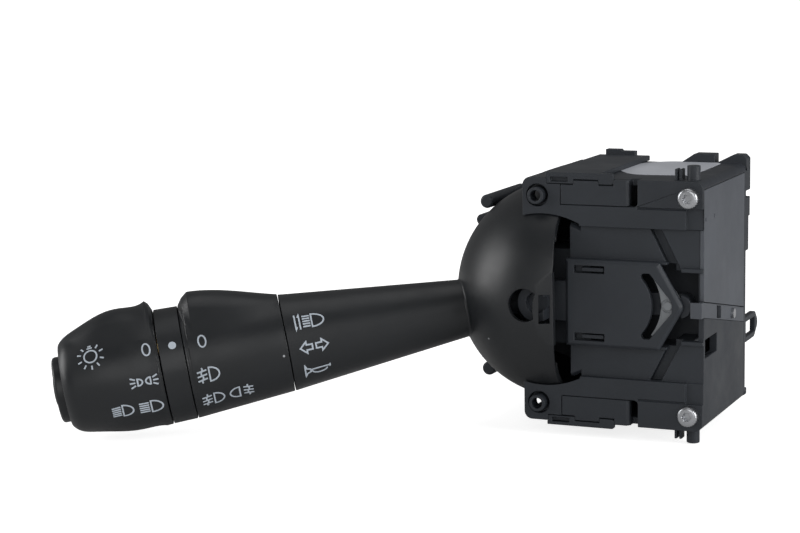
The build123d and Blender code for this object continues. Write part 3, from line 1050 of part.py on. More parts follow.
with BuildPart() as pawl_spring:
    spring((PAWL_X, pawl_arm_back + 0.8, 0), (0, 1, 0), 3.0, 0.35, 1.0, POCKET_FLOOR - pawl_arm_back - 1.3)
finish(pawl_spring, "pawl_spring")
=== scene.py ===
"""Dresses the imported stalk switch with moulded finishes, printed symbols, screws, a label and a studio."""

import json
import math

import bmesh
import bpy
import numpy as np
from bpy.props import FloatProperty, FloatVectorProperty, IntProperty, PointerProperty
from mathutils import Matrix, Vector
from mathutils.bvhtree import BVHTree

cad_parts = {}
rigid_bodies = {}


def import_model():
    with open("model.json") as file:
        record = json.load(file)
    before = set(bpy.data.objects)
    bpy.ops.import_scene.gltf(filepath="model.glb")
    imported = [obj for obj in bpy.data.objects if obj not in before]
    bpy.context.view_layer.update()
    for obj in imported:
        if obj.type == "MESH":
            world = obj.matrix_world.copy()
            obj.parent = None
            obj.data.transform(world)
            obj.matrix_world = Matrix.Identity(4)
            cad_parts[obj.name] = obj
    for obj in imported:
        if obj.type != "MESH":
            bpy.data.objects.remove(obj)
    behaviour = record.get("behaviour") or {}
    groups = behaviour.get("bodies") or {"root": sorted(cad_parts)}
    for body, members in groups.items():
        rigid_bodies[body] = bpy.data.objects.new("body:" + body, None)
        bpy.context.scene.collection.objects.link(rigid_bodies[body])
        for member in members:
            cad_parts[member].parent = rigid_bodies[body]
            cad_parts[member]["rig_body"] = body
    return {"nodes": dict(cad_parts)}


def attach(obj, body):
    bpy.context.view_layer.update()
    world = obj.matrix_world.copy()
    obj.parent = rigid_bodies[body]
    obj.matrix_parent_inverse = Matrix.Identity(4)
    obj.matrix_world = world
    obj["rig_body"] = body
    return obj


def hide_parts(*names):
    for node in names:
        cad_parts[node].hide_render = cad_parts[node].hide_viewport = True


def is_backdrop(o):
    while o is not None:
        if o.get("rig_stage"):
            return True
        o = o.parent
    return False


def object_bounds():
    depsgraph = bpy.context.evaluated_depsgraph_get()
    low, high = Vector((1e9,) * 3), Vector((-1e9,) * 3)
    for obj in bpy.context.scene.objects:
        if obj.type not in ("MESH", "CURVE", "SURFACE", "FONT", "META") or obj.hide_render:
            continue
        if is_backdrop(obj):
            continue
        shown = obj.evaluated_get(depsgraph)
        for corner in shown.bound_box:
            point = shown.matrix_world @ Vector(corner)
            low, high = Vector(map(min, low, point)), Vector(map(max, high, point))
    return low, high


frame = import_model()
NODES = frame["nodes"]

bl_info = {
    "name": "Stalk switch finisher",
    "version": (1, 0, 0),
    "blender": (4, 5, 0),
    "location": "View3D > Sidebar > Stalk switch",
    "description": "Finishes the packed stalk switch and sets it in a studio",
    "category": "Object",
}

MM = 0.001

# The lever's axis, as in the solids
PIVOT = Vector((1.5, 22.0, 0.0)) * MM
LEVER_LEAN = math.radians(30)
LEVER_DROOP = math.radians(9)
LEVER_DIR = Vector((
    -math.cos(LEVER_LEAN) * math.cos(LEVER_DROOP),
    -math.sin(LEVER_LEAN) * math.cos(LEVER_DROOP),
    -math.sin(LEVER_DROOP),
))
LEVER_UP = (Vector((0, 0, 1)) - LEVER_DIR * LEVER_DIR.z).normalized()
LEVER_SIDE = LEVER_UP.cross(LEVER_DIR)
CLEAR_OF_LEVER = 45 * MM

# Angles that tell a flat face from a curved one, and a curve from an edge
FLAT = math.radians(0.4)
EDGE = math.radians(30)
CREASE = math.radians(38)
MERGE = 2e-6
ROUNDING_STEPS = 2

# Places of the housing's top and of the screws, as in the solids
TOP_FACE = 36.3
FRONT_SCREW = Vector((46.0, 0.0, 31.6)) * MM
REAR_SCREW = Vector((43.0, 48.0, 30.0)) * MM

# The screws, in millimetres
HEAD_R = 2.95
HEAD_TALL = 2.6
SHANK_R = 1.5
SHANK = 14.0
SHANK_POINT = 1.2
KNURL_DEPTH = 0.07
SOCKET_R = 1.15
SOCKET_DEPTH = 1.3
LOBE_DEPTH = 0.17
LOBES = 6

# The blank label in millimetres: the centre and radii of its round end, and its corners at the other
LABEL_CENTRE = (29.0, 31.0)
LABEL_ROUND = (12.0, 18.0)
LABEL_CORNERS = [(41.0, 14.5), (42.5, 17.0), (42.5, 46.0), (41.0, 48.5)]

HOUSING_MOULDINGS = (
    "main_housing", "rear_housing", "upper_cover", "lower_cover", "upper_latch_plate",
    "lower_latch_plate", "guide_plate", "harness_loop", "connector_shroud", "pawl_arm",
    "mount_bushings",
)
PANEL_MOULDINGS = ("side_panel", "side_strip")
LEVER_MOULDINGS = ("lever_shell", "fog_ring", "index_ring", "light_knob", "horn_button")
HIDDEN_MOULDINGS = ("contact_carrier", "detent_track", "gimbal_yoke", "lever_core", "knob_retainer")
NYLON_PIECES = ("indicator_carriage", "dip_slider", "horn_push_rod")
STEEL_PIECES = ("pawl_pin", "lever_pivot_pin", "detent_plunger")
BRIGHT_PINS = ("strip_pin", "skirt_pin")
WIRE_PIECES = ("pawl_spring", "detent_spring", "flash_return_spring", "horn_spring")
BRASS_PIECES = (
    "contact_tracks", "connector_terminals", "fog_contact_ring", "fog_wiper", "light_wiper", "horn_contact",
)

# The solved camera
CAMERA_PLACE = (0.21122, -0.57369, 0.10841)
CAMERA_YAW = math.radians(24.008)
CAMERA_PITCH = math.radians(9.109)
CAMERA_ROLL = math.radians(-1.1025)
LENS = 94.5
SENSOR = 36.0
NEAREST = 0.05

# Each lamp's name, place and size in metres, and the studio value that holds its power
LAMPS = (
    ("front lamp", (0.25, -0.95, 0.35), 0.7, "front"),
    ("right lamp", (0.95, -0.1, 0.25), 0.6, "right"),
    ("left lamp", (-0.95, -0.3, 0.3), 0.6, "left"),
    ("top lamp", (-0.05, 0.1, 0.95), 0.7, "top"),
)

# The floor in metres, and how brightly the camera sees it near the object and far from it
FLOOR_REACH = 4.0
FLOOR_GAP = 0.0004
GLOW_FROM, GLOW_TO = 0.2, 0.6
NEAR_GLOW, FAR_GLOW = 0.8, 1.0

# The part of a noise's range that holds most of its values
NOISE_LOW, NOISE_HIGH = 0.3, 0.7
DUST_COLOUR = (0.35, 0.36, 0.38, 1)
DUST_RARITY = 0.93

# Sockets of a Mix node that mixes colours, where a label stands for more than one socket
MIX_FACTOR, MIX_FIRST, MIX_SECOND, MIX_RESULT = 0, 6, 7, 2


def length_value(name, description, default):
    """A length that a user may change."""
    return FloatProperty(name=name, description=description, default=default, unit="LENGTH")


def colour_value(name, description, *default):
    """A colour that a user may change."""
    return FloatVectorProperty(name=name, description=description, subtype="COLOR", default=default)


def power_value(name, place, default):
    """A lamp's power that a user may change."""
    return FloatProperty(name=name, description=f"Power of the lamp {place}, in watts", default=default)


class StalkSizes(bpy.types.PropertyGroup):
    """Sizes of the finish that a user may change."""

    edge: length_value("Moulded edge", "Rounding of the housing's edges", 0.22 * MM)
    fine_edge: length_value("Fine edge", "Rounding of the lever's edges", 0.16 * MM)
    stroke: length_value("Print stroke", "Width of the printed lines", 0.46 * MM)
    film: length_value("Print film", "Height of the print above the surface", 0.05 * MM)
    label: length_value("Label", "Thickness of the blank label", 0.12 * MM)
    knurls: IntProperty(name="Knurls", description="Grooves round a screw head", default=24, min=8)


class StalkColours(bpy.types.PropertyGroup):
    """Colours of the finishes."""

    lever: colour_value("Lever", "Satin black of the lever", 0.011, 0.0125, 0.0145)
    housing: colour_value("Housing", "Grained black of the housing", 0.026, 0.030, 0.0365)
    panel: colour_value("Side panel", "Lighter grained side panel", 0.078, 0.085, 0.098)
    nylon: colour_value("Nylon", "Natural nylon of the small sliding pieces", 0.6, 0.62, 0.63)
    # The pawl's colour is the natural nylon darkened to a mid grey: painted shade for the slot it is seen
    # through
    pawl: colour_value("Pawl", "Nylon of the pawl, darkened as painted shade", 0.27, 0.285, 0.3)
    zinc: colour_value("Zinc", "Bright zinc of the screws", 0.46, 0.47, 0.49)
    wire: colour_value("Wire", "Drawn spring wire", 0.4, 0.4, 0.41)
    brass: colour_value("Brass", "Contact brass", 0.75, 0.56, 0.27)
    print: colour_value("Print", "Printed symbols", 0.46, 0.51, 0.57)
    label: colour_value("Label", "Film of the blank label", 0.55, 0.57, 0.62)


class StalkStudio(bpy.types.PropertyGroup):
    """Light of the studio."""

    front: power_value("Front lamp", "beside the camera", 2.6)
    right: power_value("Right lamp", "at the right", 6.0)
    left: power_value("Left lamp", "at the left", 5.0)
    top: power_value("Top lamp", "above", 1.5)
    ambient: FloatProperty(name="Ambient", description="Level of the light from all round", default=0.18)


def properties():
    """The sizes, colours and studio values of this scene."""
    scene = bpy.context.scene
    return scene.stalk_sizes, scene.stalk_colours, scene.stalk_studio


# Shader groups


def shader_group(name, inputs, outputs):
    """An empty shader group with named number and colour sockets, with its input and output nodes."""
    tree = bpy.data.node_groups.new(name, "ShaderNodeTree")
    for label, kind, default in inputs:
        socket = tree.interface.new_socket(name=label, in_out="INPUT", socket_type=kind)
        socket.default_value = default
    for label, kind in outputs:
        tree.interface.new_socket(name=label, in_out="OUTPUT", socket_type=kind)
    return tree, tree.nodes.new("NodeGroupInput"), tree.nodes.new("NodeGroupOutput")


def wire(tree, source, target):
    """Links an output socket to an input socket."""
    tree.links.new(source, target)


def noise(tree, coordinates, scale, detail, roughness=0.55):
    """A noise texture on the given coordinates."""
    node = tree.nodes.new("ShaderNodeTexNoise")
    node.inputs["Detail"].default_value = detail
    node.inputs["Roughness"].default_value = roughness
    wire(tree, coordinates, node.inputs["Vector"])
    wire(tree, scale, node.inputs["Scale"])
    return node


def feed(tree, socket, value):
    """Sets a socket to a number, or links it to the output that gives its value."""
    if isinstance(value, (int, float)):
        socket.default_value = value
    else:
        wire(tree, value, socket)


def maths(tree, operation, first, second):
    """The result of a Math node on two values."""
    node = tree.nodes.new("ShaderNodeMath")
    node.operation = operation
    feed(tree, node.inputs[0], first)
    feed(tree, node.inputs[1], second)
    return node.outputs["Value"]


def remap(tree, value, low, high, to_low, to_high):
    """A number moved from one range to another."""
    node = tree.nodes.new("ShaderNodeMapRange")
    for label, number in zip(("From Min", "From Max", "To Min", "To Max"), (low, high, to_low, to_high)):
        feed(tree, node.inputs[label], number)
    feed(tree, node.inputs["Value"], value)
    return node.outputs["Result"]


def grain_group():
    """Spark-eroded mould grain: a height made of rounded pits and a finer noise."""
    tree, entry, end = shader_group(
        "Mould grain",
        (("Scale", "NodeSocketFloat", 1500.0), ("Fine", "NodeSocketFloat", 0.4)),
        (("Height", "NodeSocketFloat"),),
    )
    place = tree.nodes.new("ShaderNodeTexCoord").outputs["Object"]
    pits = tree.nodes.new("ShaderNodeTexVoronoi")
    pits.feature = "SMOOTH_F1"
    wire(tree, place, pits.inputs["Vector"])
    wire(tree, entry.outputs["Scale"], pits.inputs["Scale"])
    fine = noise(tree, place, entry.outputs["Scale"], 3.0)
    blend = tree.nodes.new("ShaderNodeMix")
    wire(tree, entry.outputs["Fine"], blend.inputs["Factor"])
    wire(tree, pits.outputs["Distance"], blend.inputs["A"])
    wire(tree, fine.outputs["Fac"], blend.inputs["B"])
    wire(tree, blend.outputs["Result"], end.inputs["Height"])
    return tree


def tone_group():
    """Slow change of colour over a moulding, as resin flow and handling leave it."""
    tree, entry, end = shader_group(
        "Resin tone",
        (("Colour", "NodeSocketColor", (0.03, 0.03, 0.03, 1)), ("Spread", "NodeSocketFloat", 0.12),
         ("Scale", "NodeSocketFloat", 60.0)),
        (("Colour", "NodeSocketColor"),),
    )
    place = tree.nodes.new("ShaderNodeTexCoord").outputs["Object"]
    flow = noise(tree, place, entry.outputs["Scale"], 4.0)
    low = maths(tree, "SUBTRACT", 1.0, entry.outputs["Spread"])
    high = maths(tree, "ADD", 1.0, entry.outputs["Spread"])
    gain = remap(tree, flow.outputs["Fac"], NOISE_LOW, NOISE_HIGH, low, high)
    scaled = tree.nodes.new("ShaderNodeVectorMath")
    scaled.operation = "SCALE"
    wire(tree, entry.outputs["Colour"], scaled.inputs["Vector"])
    wire(tree, gain, scaled.inputs["Scale"])
    wire(tree, scaled.outputs["Vector"], end.inputs["Colour"])
    return tree


def polish_group():
    """Roughness that hands and the mould leave uneven."""
    tree, entry, end = shader_group(
        "Uneven polish",
        (("Smooth", "NodeSocketFloat", 0.35), ("Rough", "NodeSocketFloat", 0.5),
         ("Scale", "NodeSocketFloat", 90.0)),
        (("Roughness", "NodeSocketFloat"),),
    )
    place = tree.nodes.new("ShaderNodeTexCoord").outputs["Object"]
    cloud = noise(tree, place, entry.outputs["Scale"], 5.0, 0.6)
    smooth, rough = entry.outputs["Smooth"], entry.outputs["Rough"]
    level = remap(tree, cloud.outputs["Fac"], NOISE_LOW, NOISE_HIGH, smooth, rough)
    wire(tree, level, end.inputs["Roughness"])
    return tree


def dust_group():
    """Sparse bright flecks of dust."""
    tree, entry, end = shader_group(
        "Dust flecks",
        (("Scale", "NodeSocketFloat", 160.0), ("Size", "NodeSocketFloat", 0.06)),
        (("Mask", "NodeSocketFloat"),),
    )
    place = tree.nodes.new("ShaderNodeTexCoord").outputs["Object"]
    cells = tree.nodes.new("ShaderNodeTexVoronoi")
    wire(tree, place, cells.inputs["Vector"])
    wire(tree, entry.outputs["Scale"], cells.inputs["Scale"])
    fleck = maths(tree, "LESS_THAN", cells.outputs["Distance"], entry.outputs["Size"])
    chosen = tree.nodes.new("ShaderNodeSeparateColor")
    wire(tree, cells.outputs["Color"], chosen.inputs["Color"])
    rare = maths(tree, "GREATER_THAN", chosen.outputs["Red"], DUST_RARITY)
    wire(tree, maths(tree, "MULTIPLY", fleck, rare), end.inputs["Mask"])
    return tree


def drawn_group():
    """Fine lines that turning or drawing leaves on metal, along the Y axis."""
    tree, entry, end = shader_group(
        "Drawn lines",
        (("Scale", "NodeSocketFloat", 900.0), ("Stretch", "NodeSocketFloat", 0.06)),
        (("Height", "NodeSocketFloat"),),
    )
    place = tree.nodes.new("ShaderNodeTexCoord").outputs["Object"]
    stretch = tree.nodes.new("ShaderNodeCombineXYZ")
    stretch.inputs["X"].default_value = 1.0
    stretch.inputs["Z"].default_value = 1.0
    wire(tree, entry.outputs["Stretch"], stretch.inputs["Y"])
    drawn = tree.nodes.new("ShaderNodeVectorMath")
    drawn.operation = "MULTIPLY"
    wire(tree, place, drawn.inputs[0])
    wire(tree, stretch.outputs["Vector"], drawn.inputs[1])
    lines = noise(tree, drawn.outputs["Vector"], entry.outputs["Scale"], 2.0)
    wire(tree, lines.outputs["Fac"], end.inputs["Height"])
    return tree


GROUP_MAKERS = {
    "Mould grain": grain_group,
    "Resin tone": tone_group,
    "Uneven polish": polish_group,
    "Dust flecks": dust_group,
    "Drawn lines": drawn_group,
}


def placed(tree, name, **values):
    """A shader group placed in a material with its own values. The group is built once."""
    node = tree.nodes.new("ShaderNodeGroup")
    node.node_tree = bpy.data.node_groups.get(name) or GROUP_MAKERS[name]()
    for label, value in values.items():
        node.inputs[label].default_value = value
    return node


def new_material(name):
    """A material with one Principled shader, its tree and that shader."""
    material = bpy.data.materials.new(name)
    material.use_nodes = True
    tree = material.node_tree
    return material, tree, tree.nodes["Principled BSDF"]


def bumped(tree, shader, height, strength, distance):
    """Feeds a height to the shader's normal."""
    bump = tree.nodes.new("ShaderNodeBump")
    bump.inputs["Strength"].default_value = strength
    bump.inputs["Distance"].default_value = distance
    wire(tree, height, bump.inputs["Height"])
    wire(tree, bump.outputs["Normal"], shader.inputs["Normal"])


def moulded_plastic(name, colour, smooth, rough, grain, depth, dust=0.0, specular=0.35):
    """Moulded plastic with grain, uneven polish, resin tone and, where asked, a little dust."""
    material, tree, shader = new_material(name)
    tone = placed(tree, "Resin tone", Colour=(*colour, 1), Spread=0.1, Scale=45.0)
    polish = placed(tree, "Uneven polish", Smooth=smooth, Rough=rough, Scale=70.0)
    texture = placed(tree, "Mould grain", Scale=grain, Fine=0.45)
    wire(tree, polish.outputs["Roughness"], shader.inputs["Roughness"])
    shader.inputs["Specular IOR Level"].default_value = specular
    bumped(tree, shader, texture.outputs["Height"], strength=0.35, distance=depth)
    if not dust:
        wire(tree, tone.outputs["Colour"], shader.inputs["Base Color"])
        return material
    flecks = placed(tree, "Dust flecks", Scale=dust, Size=0.055)
    mix = tree.nodes.new("ShaderNodeMix")
    mix.data_type = "RGBA"
    mix.inputs[MIX_SECOND].default_value = DUST_COLOUR
    wire(tree, flecks.outputs["Mask"], mix.inputs[MIX_FACTOR])
    wire(tree, tone.outputs["Colour"], mix.inputs[MIX_FIRST])
    wire(tree, mix.outputs[MIX_RESULT], shader.inputs["Base Color"])
    return material


def metal(name, colour, smooth, rough, lines=900.0):
    """Plain metal with drawn lines and an uneven polish."""
    material, tree, shader = new_material(name)
    tone = placed(tree, "Resin tone", Colour=(*colour, 1), Spread=0.06, Scale=400.0)
    polish = placed(tree, "Uneven polish", Smooth=smooth, Rough=rough, Scale=600.0)
    drawn = placed(tree, "Drawn lines", Scale=lines, Stretch=0.08)
    shader.inputs["Metallic"].default_value = 1.0
    wire(tree, tone.outputs["Colour"], shader.inputs["Base Color"])
    wire(tree, polish.outputs["Roughness"], shader.inputs["Roughness"])
    bumped(tree, shader, drawn.outputs["Height"], strength=0.2, distance=0.02 * MM)
    return material


# Meshes


def new_piece(name, mesh, material):
    """An object at the origin with one material."""
    piece = bpy.data.objects.new(name, mesh)
    bpy.context.scene.collection.objects.link(piece)
    mesh.materials.clear()
    mesh.materials.append(material)
    return piece


def settle(piece):
    """Applies the piece's modifiers to its mesh."""
    bpy.context.view_layer.update()
    shaped = piece.evaluated_get(bpy.context.evaluated_depsgraph_get())
    mesh = bpy.data.meshes.new_from_object(shaped)
    piece.modifiers.clear()
    piece.data = mesh
    return piece


def draw_in_strays(mesh, solid, edge):
    """Puts rounded points that stray off the solid, where short edges meet, back on its surface."""
    surface = bmesh.new()
    surface.from_mesh(solid)
    tree = BVHTree.FromBMesh(surface)
    surface.free()
    for point in mesh.vertices:
        nearest, _, _, away = tree.find_nearest(point.co)
        if away > edge:
            point.co = nearest


def moulding(node, edge, material, merge_flats=True):
    """A CAD node's own shape with its edges rounded and its curves shaded smooth. It stands for the node."""
    shell = bmesh.new()
    shell.from_mesh(NODES[node].data)
    bmesh.ops.remove_doubles(shell, verts=shell.verts, dist=MERGE)
    if merge_flats:
        bmesh.ops.dissolve_limit(shell, angle_limit=FLAT, verts=shell.verts, edges=shell.edges)
    mesh = bpy.data.meshes.new(f"{node}_moulding")
    shell.to_mesh(mesh)
    shell.free()
    piece = new_piece(mesh.name, mesh, material)
    rounding = piece.modifiers.new("rounded edges", "BEVEL")
    rounding.width = edge
    rounding.segments = ROUNDING_STEPS
    rounding.limit_method = "ANGLE"
    rounding.angle_limit = EDGE
    rounding.use_clamp_overlap = False
    settle(piece)
    draw_in_strays(piece.data, NODES[node].data, edge)
    piece.data.shade_smooth()
    piece.data.set_sharp_from_angle(angle=CREASE)
    evened = piece.modifiers.new("even shading", "WEIGHTED_NORMAL")
    evened.keep_sharp = True
    settle(piece)
    piece.name = f"{node}_moulding"
    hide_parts(node)
    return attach(piece, NODES[node]["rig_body"])


def coat(nodes, material):
    """Gives CAD nodes a material."""
    for node in nodes:
        NODES[node].data.materials.clear()
        NODES[node].data.materials.append(material)


# Printed symbols, drawn flat in millimetres: X towards the housing, Y up. A stroke is a list of points


def arc(centre, radii, start, end, count=18):
    """Points on an arc of an ellipse, with its angles in degrees."""
    turns = np.radians(np.linspace(start, end, count))
    return [(centre[0] + radii[0] * math.cos(t), centre[1] + radii[1] * math.sin(t)) for t in turns]


def lamp(x, height, width, facing=1):
    """The D of a headlamp, flat on one side."""
    dome = arc((x, 0), (facing * width, height / 2), 90, -90)
    return dome + [dome[0]]


def beams(x, length, rows, drop):
    """Parallel beams from a lamp, each as a stroke."""
    return [[(x, y), (x - length, y - drop)] for y in rows]


def fog_mark(x, facing):
    """Three beams crossed by a wavy line."""
    near, far = x - facing * 1.9, x + facing
    rows = [[(near, y - 0.25), (far, y + 0.25)] for y in (1.3, 0.0, -1.3)]
    wave = [(x - facing * (0.45 + 0.25 * math.sin(y * 2.6)), y) for y in np.linspace(2.3, -2.3, 13)]
    return rows + [wave]


def arrow(tip, tail, facing):
    """The outline of a broad arrow."""
    neck = tip - facing * 1.9
    upper = [(tip, 0), (neck, 1.7), (neck, 0.75), (tail, 0.75)]
    return [upper + [(x, -y) for x, y in reversed(upper[1:])] + upper[:1]]


def master_light():
    """A bulb with rays."""
    rays = [
        [(2.9 * math.cos(t), 2.9 * math.sin(t)), (4.1 * math.cos(t), 4.1 * math.sin(t))]
        for t in np.radians((20, 52, 128, 160, 200, 236, 270, 304, 340))
    ]
    cap = [[(-0.8, 2.75), (0.8, 2.75)], [(-0.5, 3.4), (0.5, 3.4)]]
    return [arc((0, 0), (1.9, 1.9), 0, 360, 25)] + cap + rays


def nought():
    """The off position."""
    return [arc((0, 0), (1.1, 1.78), 0, 360, 25)]


def side_lights():
    """Two small lamps back to back, with rays outwards."""
    strokes = []
    for facing in (-1, 1):
        strokes.append(lamp(facing * 1.9, 2.0, 1.4, -facing))
        for turn in (26, 0, -26):
            t = math.radians(turn)
            strokes.append([(facing * (2.1 + 0.5 * math.cos(t)), 1.9 * math.sin(t)),
                            (facing * (2.1 + 2.1 * math.cos(t)), 3.4 * math.sin(t))])
    return strokes


def low_beam():
    """A headlamp with beams that slant down."""
    return [lamp(0.2, 3.9, 3.1)] + beams(-0.35, 2.6, (1.5, 0.75, 0.0, -0.75, -1.5), 0.55)


def high_beam():
    """A headlamp with level beams."""
    return [lamp(0.2, 4.2, 3.4)] + beams(-0.4, 2.9, (1.6, 0.8, 0.0, -0.8, -1.6), 0.0)


def front_fog():
    """A headlamp with slanted beams crossed by a wavy line."""
    return [lamp(0.3, 4.2, 2.9)] + fog_mark(-1.4, 1)


def rear_fog():
    """A lamp facing the other way, with beams crossed by a wavy line."""
    return [lamp(-0.5, 3.9, 2.9, -1)] + fog_mark(1.7, -1)


def flash():
    """Two upright arrows beside a headlamp with level beams."""
    uprights = [[(-4.4, 2.3), (-4.4, -2.3), (-4.0, -1.4)], [(-3.1, -2.3), (-3.1, 2.3), (-3.5, 1.4)]]
    return uprights + [lamp(0.5, 4.0, 3.6)] + beams(0.0, 2.2, (1.6, 0.8, 0.0, -0.8, -1.6), 0.0)


def turn_arrows():
    """Two broad arrows pointing apart."""
    return arrow(-4.2, -0.55, -1) + arrow(4.2, 0.55, 1)


def horn():
    """A trumpet: its bell, tube and loop."""
    bell = [(-3.8, 2.1), (-3.8, -2.1), (-3.3, -0.9), (-2.2, -0.5), (-2.2, 0.5), (-3.3, 0.9), (-3.8, 2.1)]
    tube = [(-2.4, 0.25), (3.6, 0.35)]
    mouth = [(3.7, 0.9), (3.7, -0.2)]
    loop = [(-2.3, -0.3)] + arc((0.6, -0.1), (2.3, 1.35), 190, 350, 14)
    return [bell, tube, mouth, loop]


# Each symbol's moulding, drawing, place along the lever in millimetres and turn from the top in degrees
SYMBOLS = (
    ("light_knob", master_light, 144.1, 52.6),
    ("light_knob", nought, 127.8, 59.4),
    ("light_knob", side_lights, 130.0, 89.0),
    ("light_knob", low_beam, 138.0, 116.6),
    ("light_knob", high_beam, 129.6, 117.0),
    ("fog_ring", nought, 111.4, 60.5),
    ("fog_ring", front_fog, 111.3, 95.3),
    ("fog_ring", front_fog, 111.2, 124.9),
    ("fog_ring", rear_fog, 102.8, 124.6),
    ("lever_shell", flash, 79.2, 57.1),
    ("lever_shell", turn_arrows, 79.3, 89.1),
    ("lever_shell", horn, 79.4, 120.3),
)
INDEX_DOT = ("index_ring", 120.1, 59.6)
INDEX_DOT_R = 1.15

# The longest straight run of the print in millimetres, the gap that still counts as closed, and the
# least cosine by which a corner's mitre widens a stroke
PRINT_RUN = 0.8
CLOSED = 1e-6
MITRE_LIMIT = 0.45


def resample(stroke):
    """The same stroke with short runs, so that it follows the curved surface."""
    points = [np.array(stroke[0], float)]
    for end in stroke[1:]:
        start, end = points[-1], np.array(end, float)
        parts = max(1, math.ceil(np.linalg.norm(end - start) / PRINT_RUN))
        points += [start + (end - start) * (k + 1) / parts for k in range(parts)]
    return points


def ribbon(stroke, width):
    """The two sides of a stroke with mitred corners."""
    points = resample(stroke)
    closed = np.linalg.norm(points[0] - points[-1]) < CLOSED
    if closed:
        points = points[:-1]
    sides = []
    for k, point in enumerate(points):
        runs = []
        if k or closed:
            runs.append(point - points[k - 1])
        if k + 1 < len(points) or closed:
            runs.append(points[(k + 1) % len(points)] - point)
        runs = [run / np.linalg.norm(run) for run in runs]
        along = sum(runs) / np.linalg.norm(sum(runs))
        across = np.array((-along[1], along[0]))
        spread = width / 2 / max(MITRE_LIMIT, abs(float(along @ runs[0])))
        sides.append((point + across * spread, point - across * spread))
    return sides, closed


def lever_spot(tree, along, turn, lift):
    """The point on a moulding at a place along the lever and a turn from its top, lifted off the surface."""
    outwards = LEVER_UP * math.cos(turn) + LEVER_SIDE * math.sin(turn)
    far = PIVOT + LEVER_DIR * along + outwards * CLEAR_OF_LEVER
    spot, normal, _, _ = tree.ray_cast(far, -outwards)
    if spot is None:
        raise RuntimeError(f"no surface under a symbol {along / MM:.1f} mm along the lever")
    return spot + normal.normalized() * lift, (spot - PIVOT - LEVER_DIR * along).length


def print_faces(ink, tree, faces, along, turn, lift):
    """Adds flat faces, given in millimetres about a symbol's centre, to the ink on a curved surface."""
    _, radius = lever_spot(tree, along * MM, math.radians(turn), lift)
    made = {}
    for face in faces:
        corners = []
        for x, y in face:
            key = (round(float(x), 4), round(float(y), 4))
            if key not in made:
                angle = math.radians(turn) - key[1] * MM / radius
                spot, _ = lever_spot(tree, (along - key[0]) * MM, angle, lift)
                made[key] = ink.verts.new(spot)
            corners.append(made[key])
        if len(set(corners)) == len(corners):
            ink.faces.new(corners)


def stroke_faces(stroke, width):
    """The faces of one stroke."""
    sides, closed = ribbon(stroke, width)
    ends = sides[1:] + sides[:1] if closed else sides[1:]
    return [(start[0], end[0], end[1], start[1]) for start, end in zip(sides, ends)]


def disc_faces(radius, count=24):
    """The faces of a filled disc."""
    rim = arc((0, 0), (radius, radius), 0, 360, count + 1)[:-1]
    return [((0, 0), rim[k], rim[(k + 1) % count]) for k in range(count)]


# Screws


def lobed_screw(knurls):
    """A pan-head screw with a six-lobed socket and a knurled flank. Its head points to -Y from the origin."""
    count = 4 * knurls
    turns = [2 * math.pi * k / count for k in range(count)]
    screw = bmesh.new()

    def point(radius, depth, turn):
        return screw.verts.new(Vector((radius * math.cos(turn), depth, radius * math.sin(turn))) * MM)

    def ring(radius, depth, wave=0.0, lobes=1):
        return [point(radius + wave * math.cos(lobes * turn), depth, turn) for turn in turns]

    # From the shank's point over the knurled head and down into the socket
    rings = [
        ring(SHANK_R * 0.4, SHANK),
        ring(SHANK_R, SHANK - SHANK_POINT),
        ring(SHANK_R, 0.0),
        ring(HEAD_R - 0.1, 0.0),
        ring(HEAD_R, -0.3, KNURL_DEPTH, knurls),
        ring(HEAD_R, 0.7 - HEAD_TALL, KNURL_DEPTH, knurls),
        ring(HEAD_R - 0.15, 0.35 - HEAD_TALL),
        ring(HEAD_R - 0.55, 0.05 - HEAD_TALL),
        ring(HEAD_R - 0.9, -HEAD_TALL),
        ring(SOCKET_R + 0.13, -HEAD_TALL, LOBE_DEPTH, LOBES),
        ring(SOCKET_R + 0.03, 0.1 - HEAD_TALL, LOBE_DEPTH, LOBES),
        ring(SOCKET_R, SOCKET_DEPTH - HEAD_TALL, LOBE_DEPTH, LOBES),
    ]
    for first, second in zip(rings, rings[1:]):
        for k in range(count):
            screw.faces.new((first[k], second[k], second[(k + 1) % count], first[(k + 1) % count]))
    screw.faces.new(rings[0])
    screw.faces.new(rings[-1][::-1])
    bmesh.ops.recalc_face_normals(screw, faces=screw.faces)
    mesh = bpy.data.meshes.new("lobed_screw")
    screw.to_mesh(mesh)
    screw.free()
    return mesh


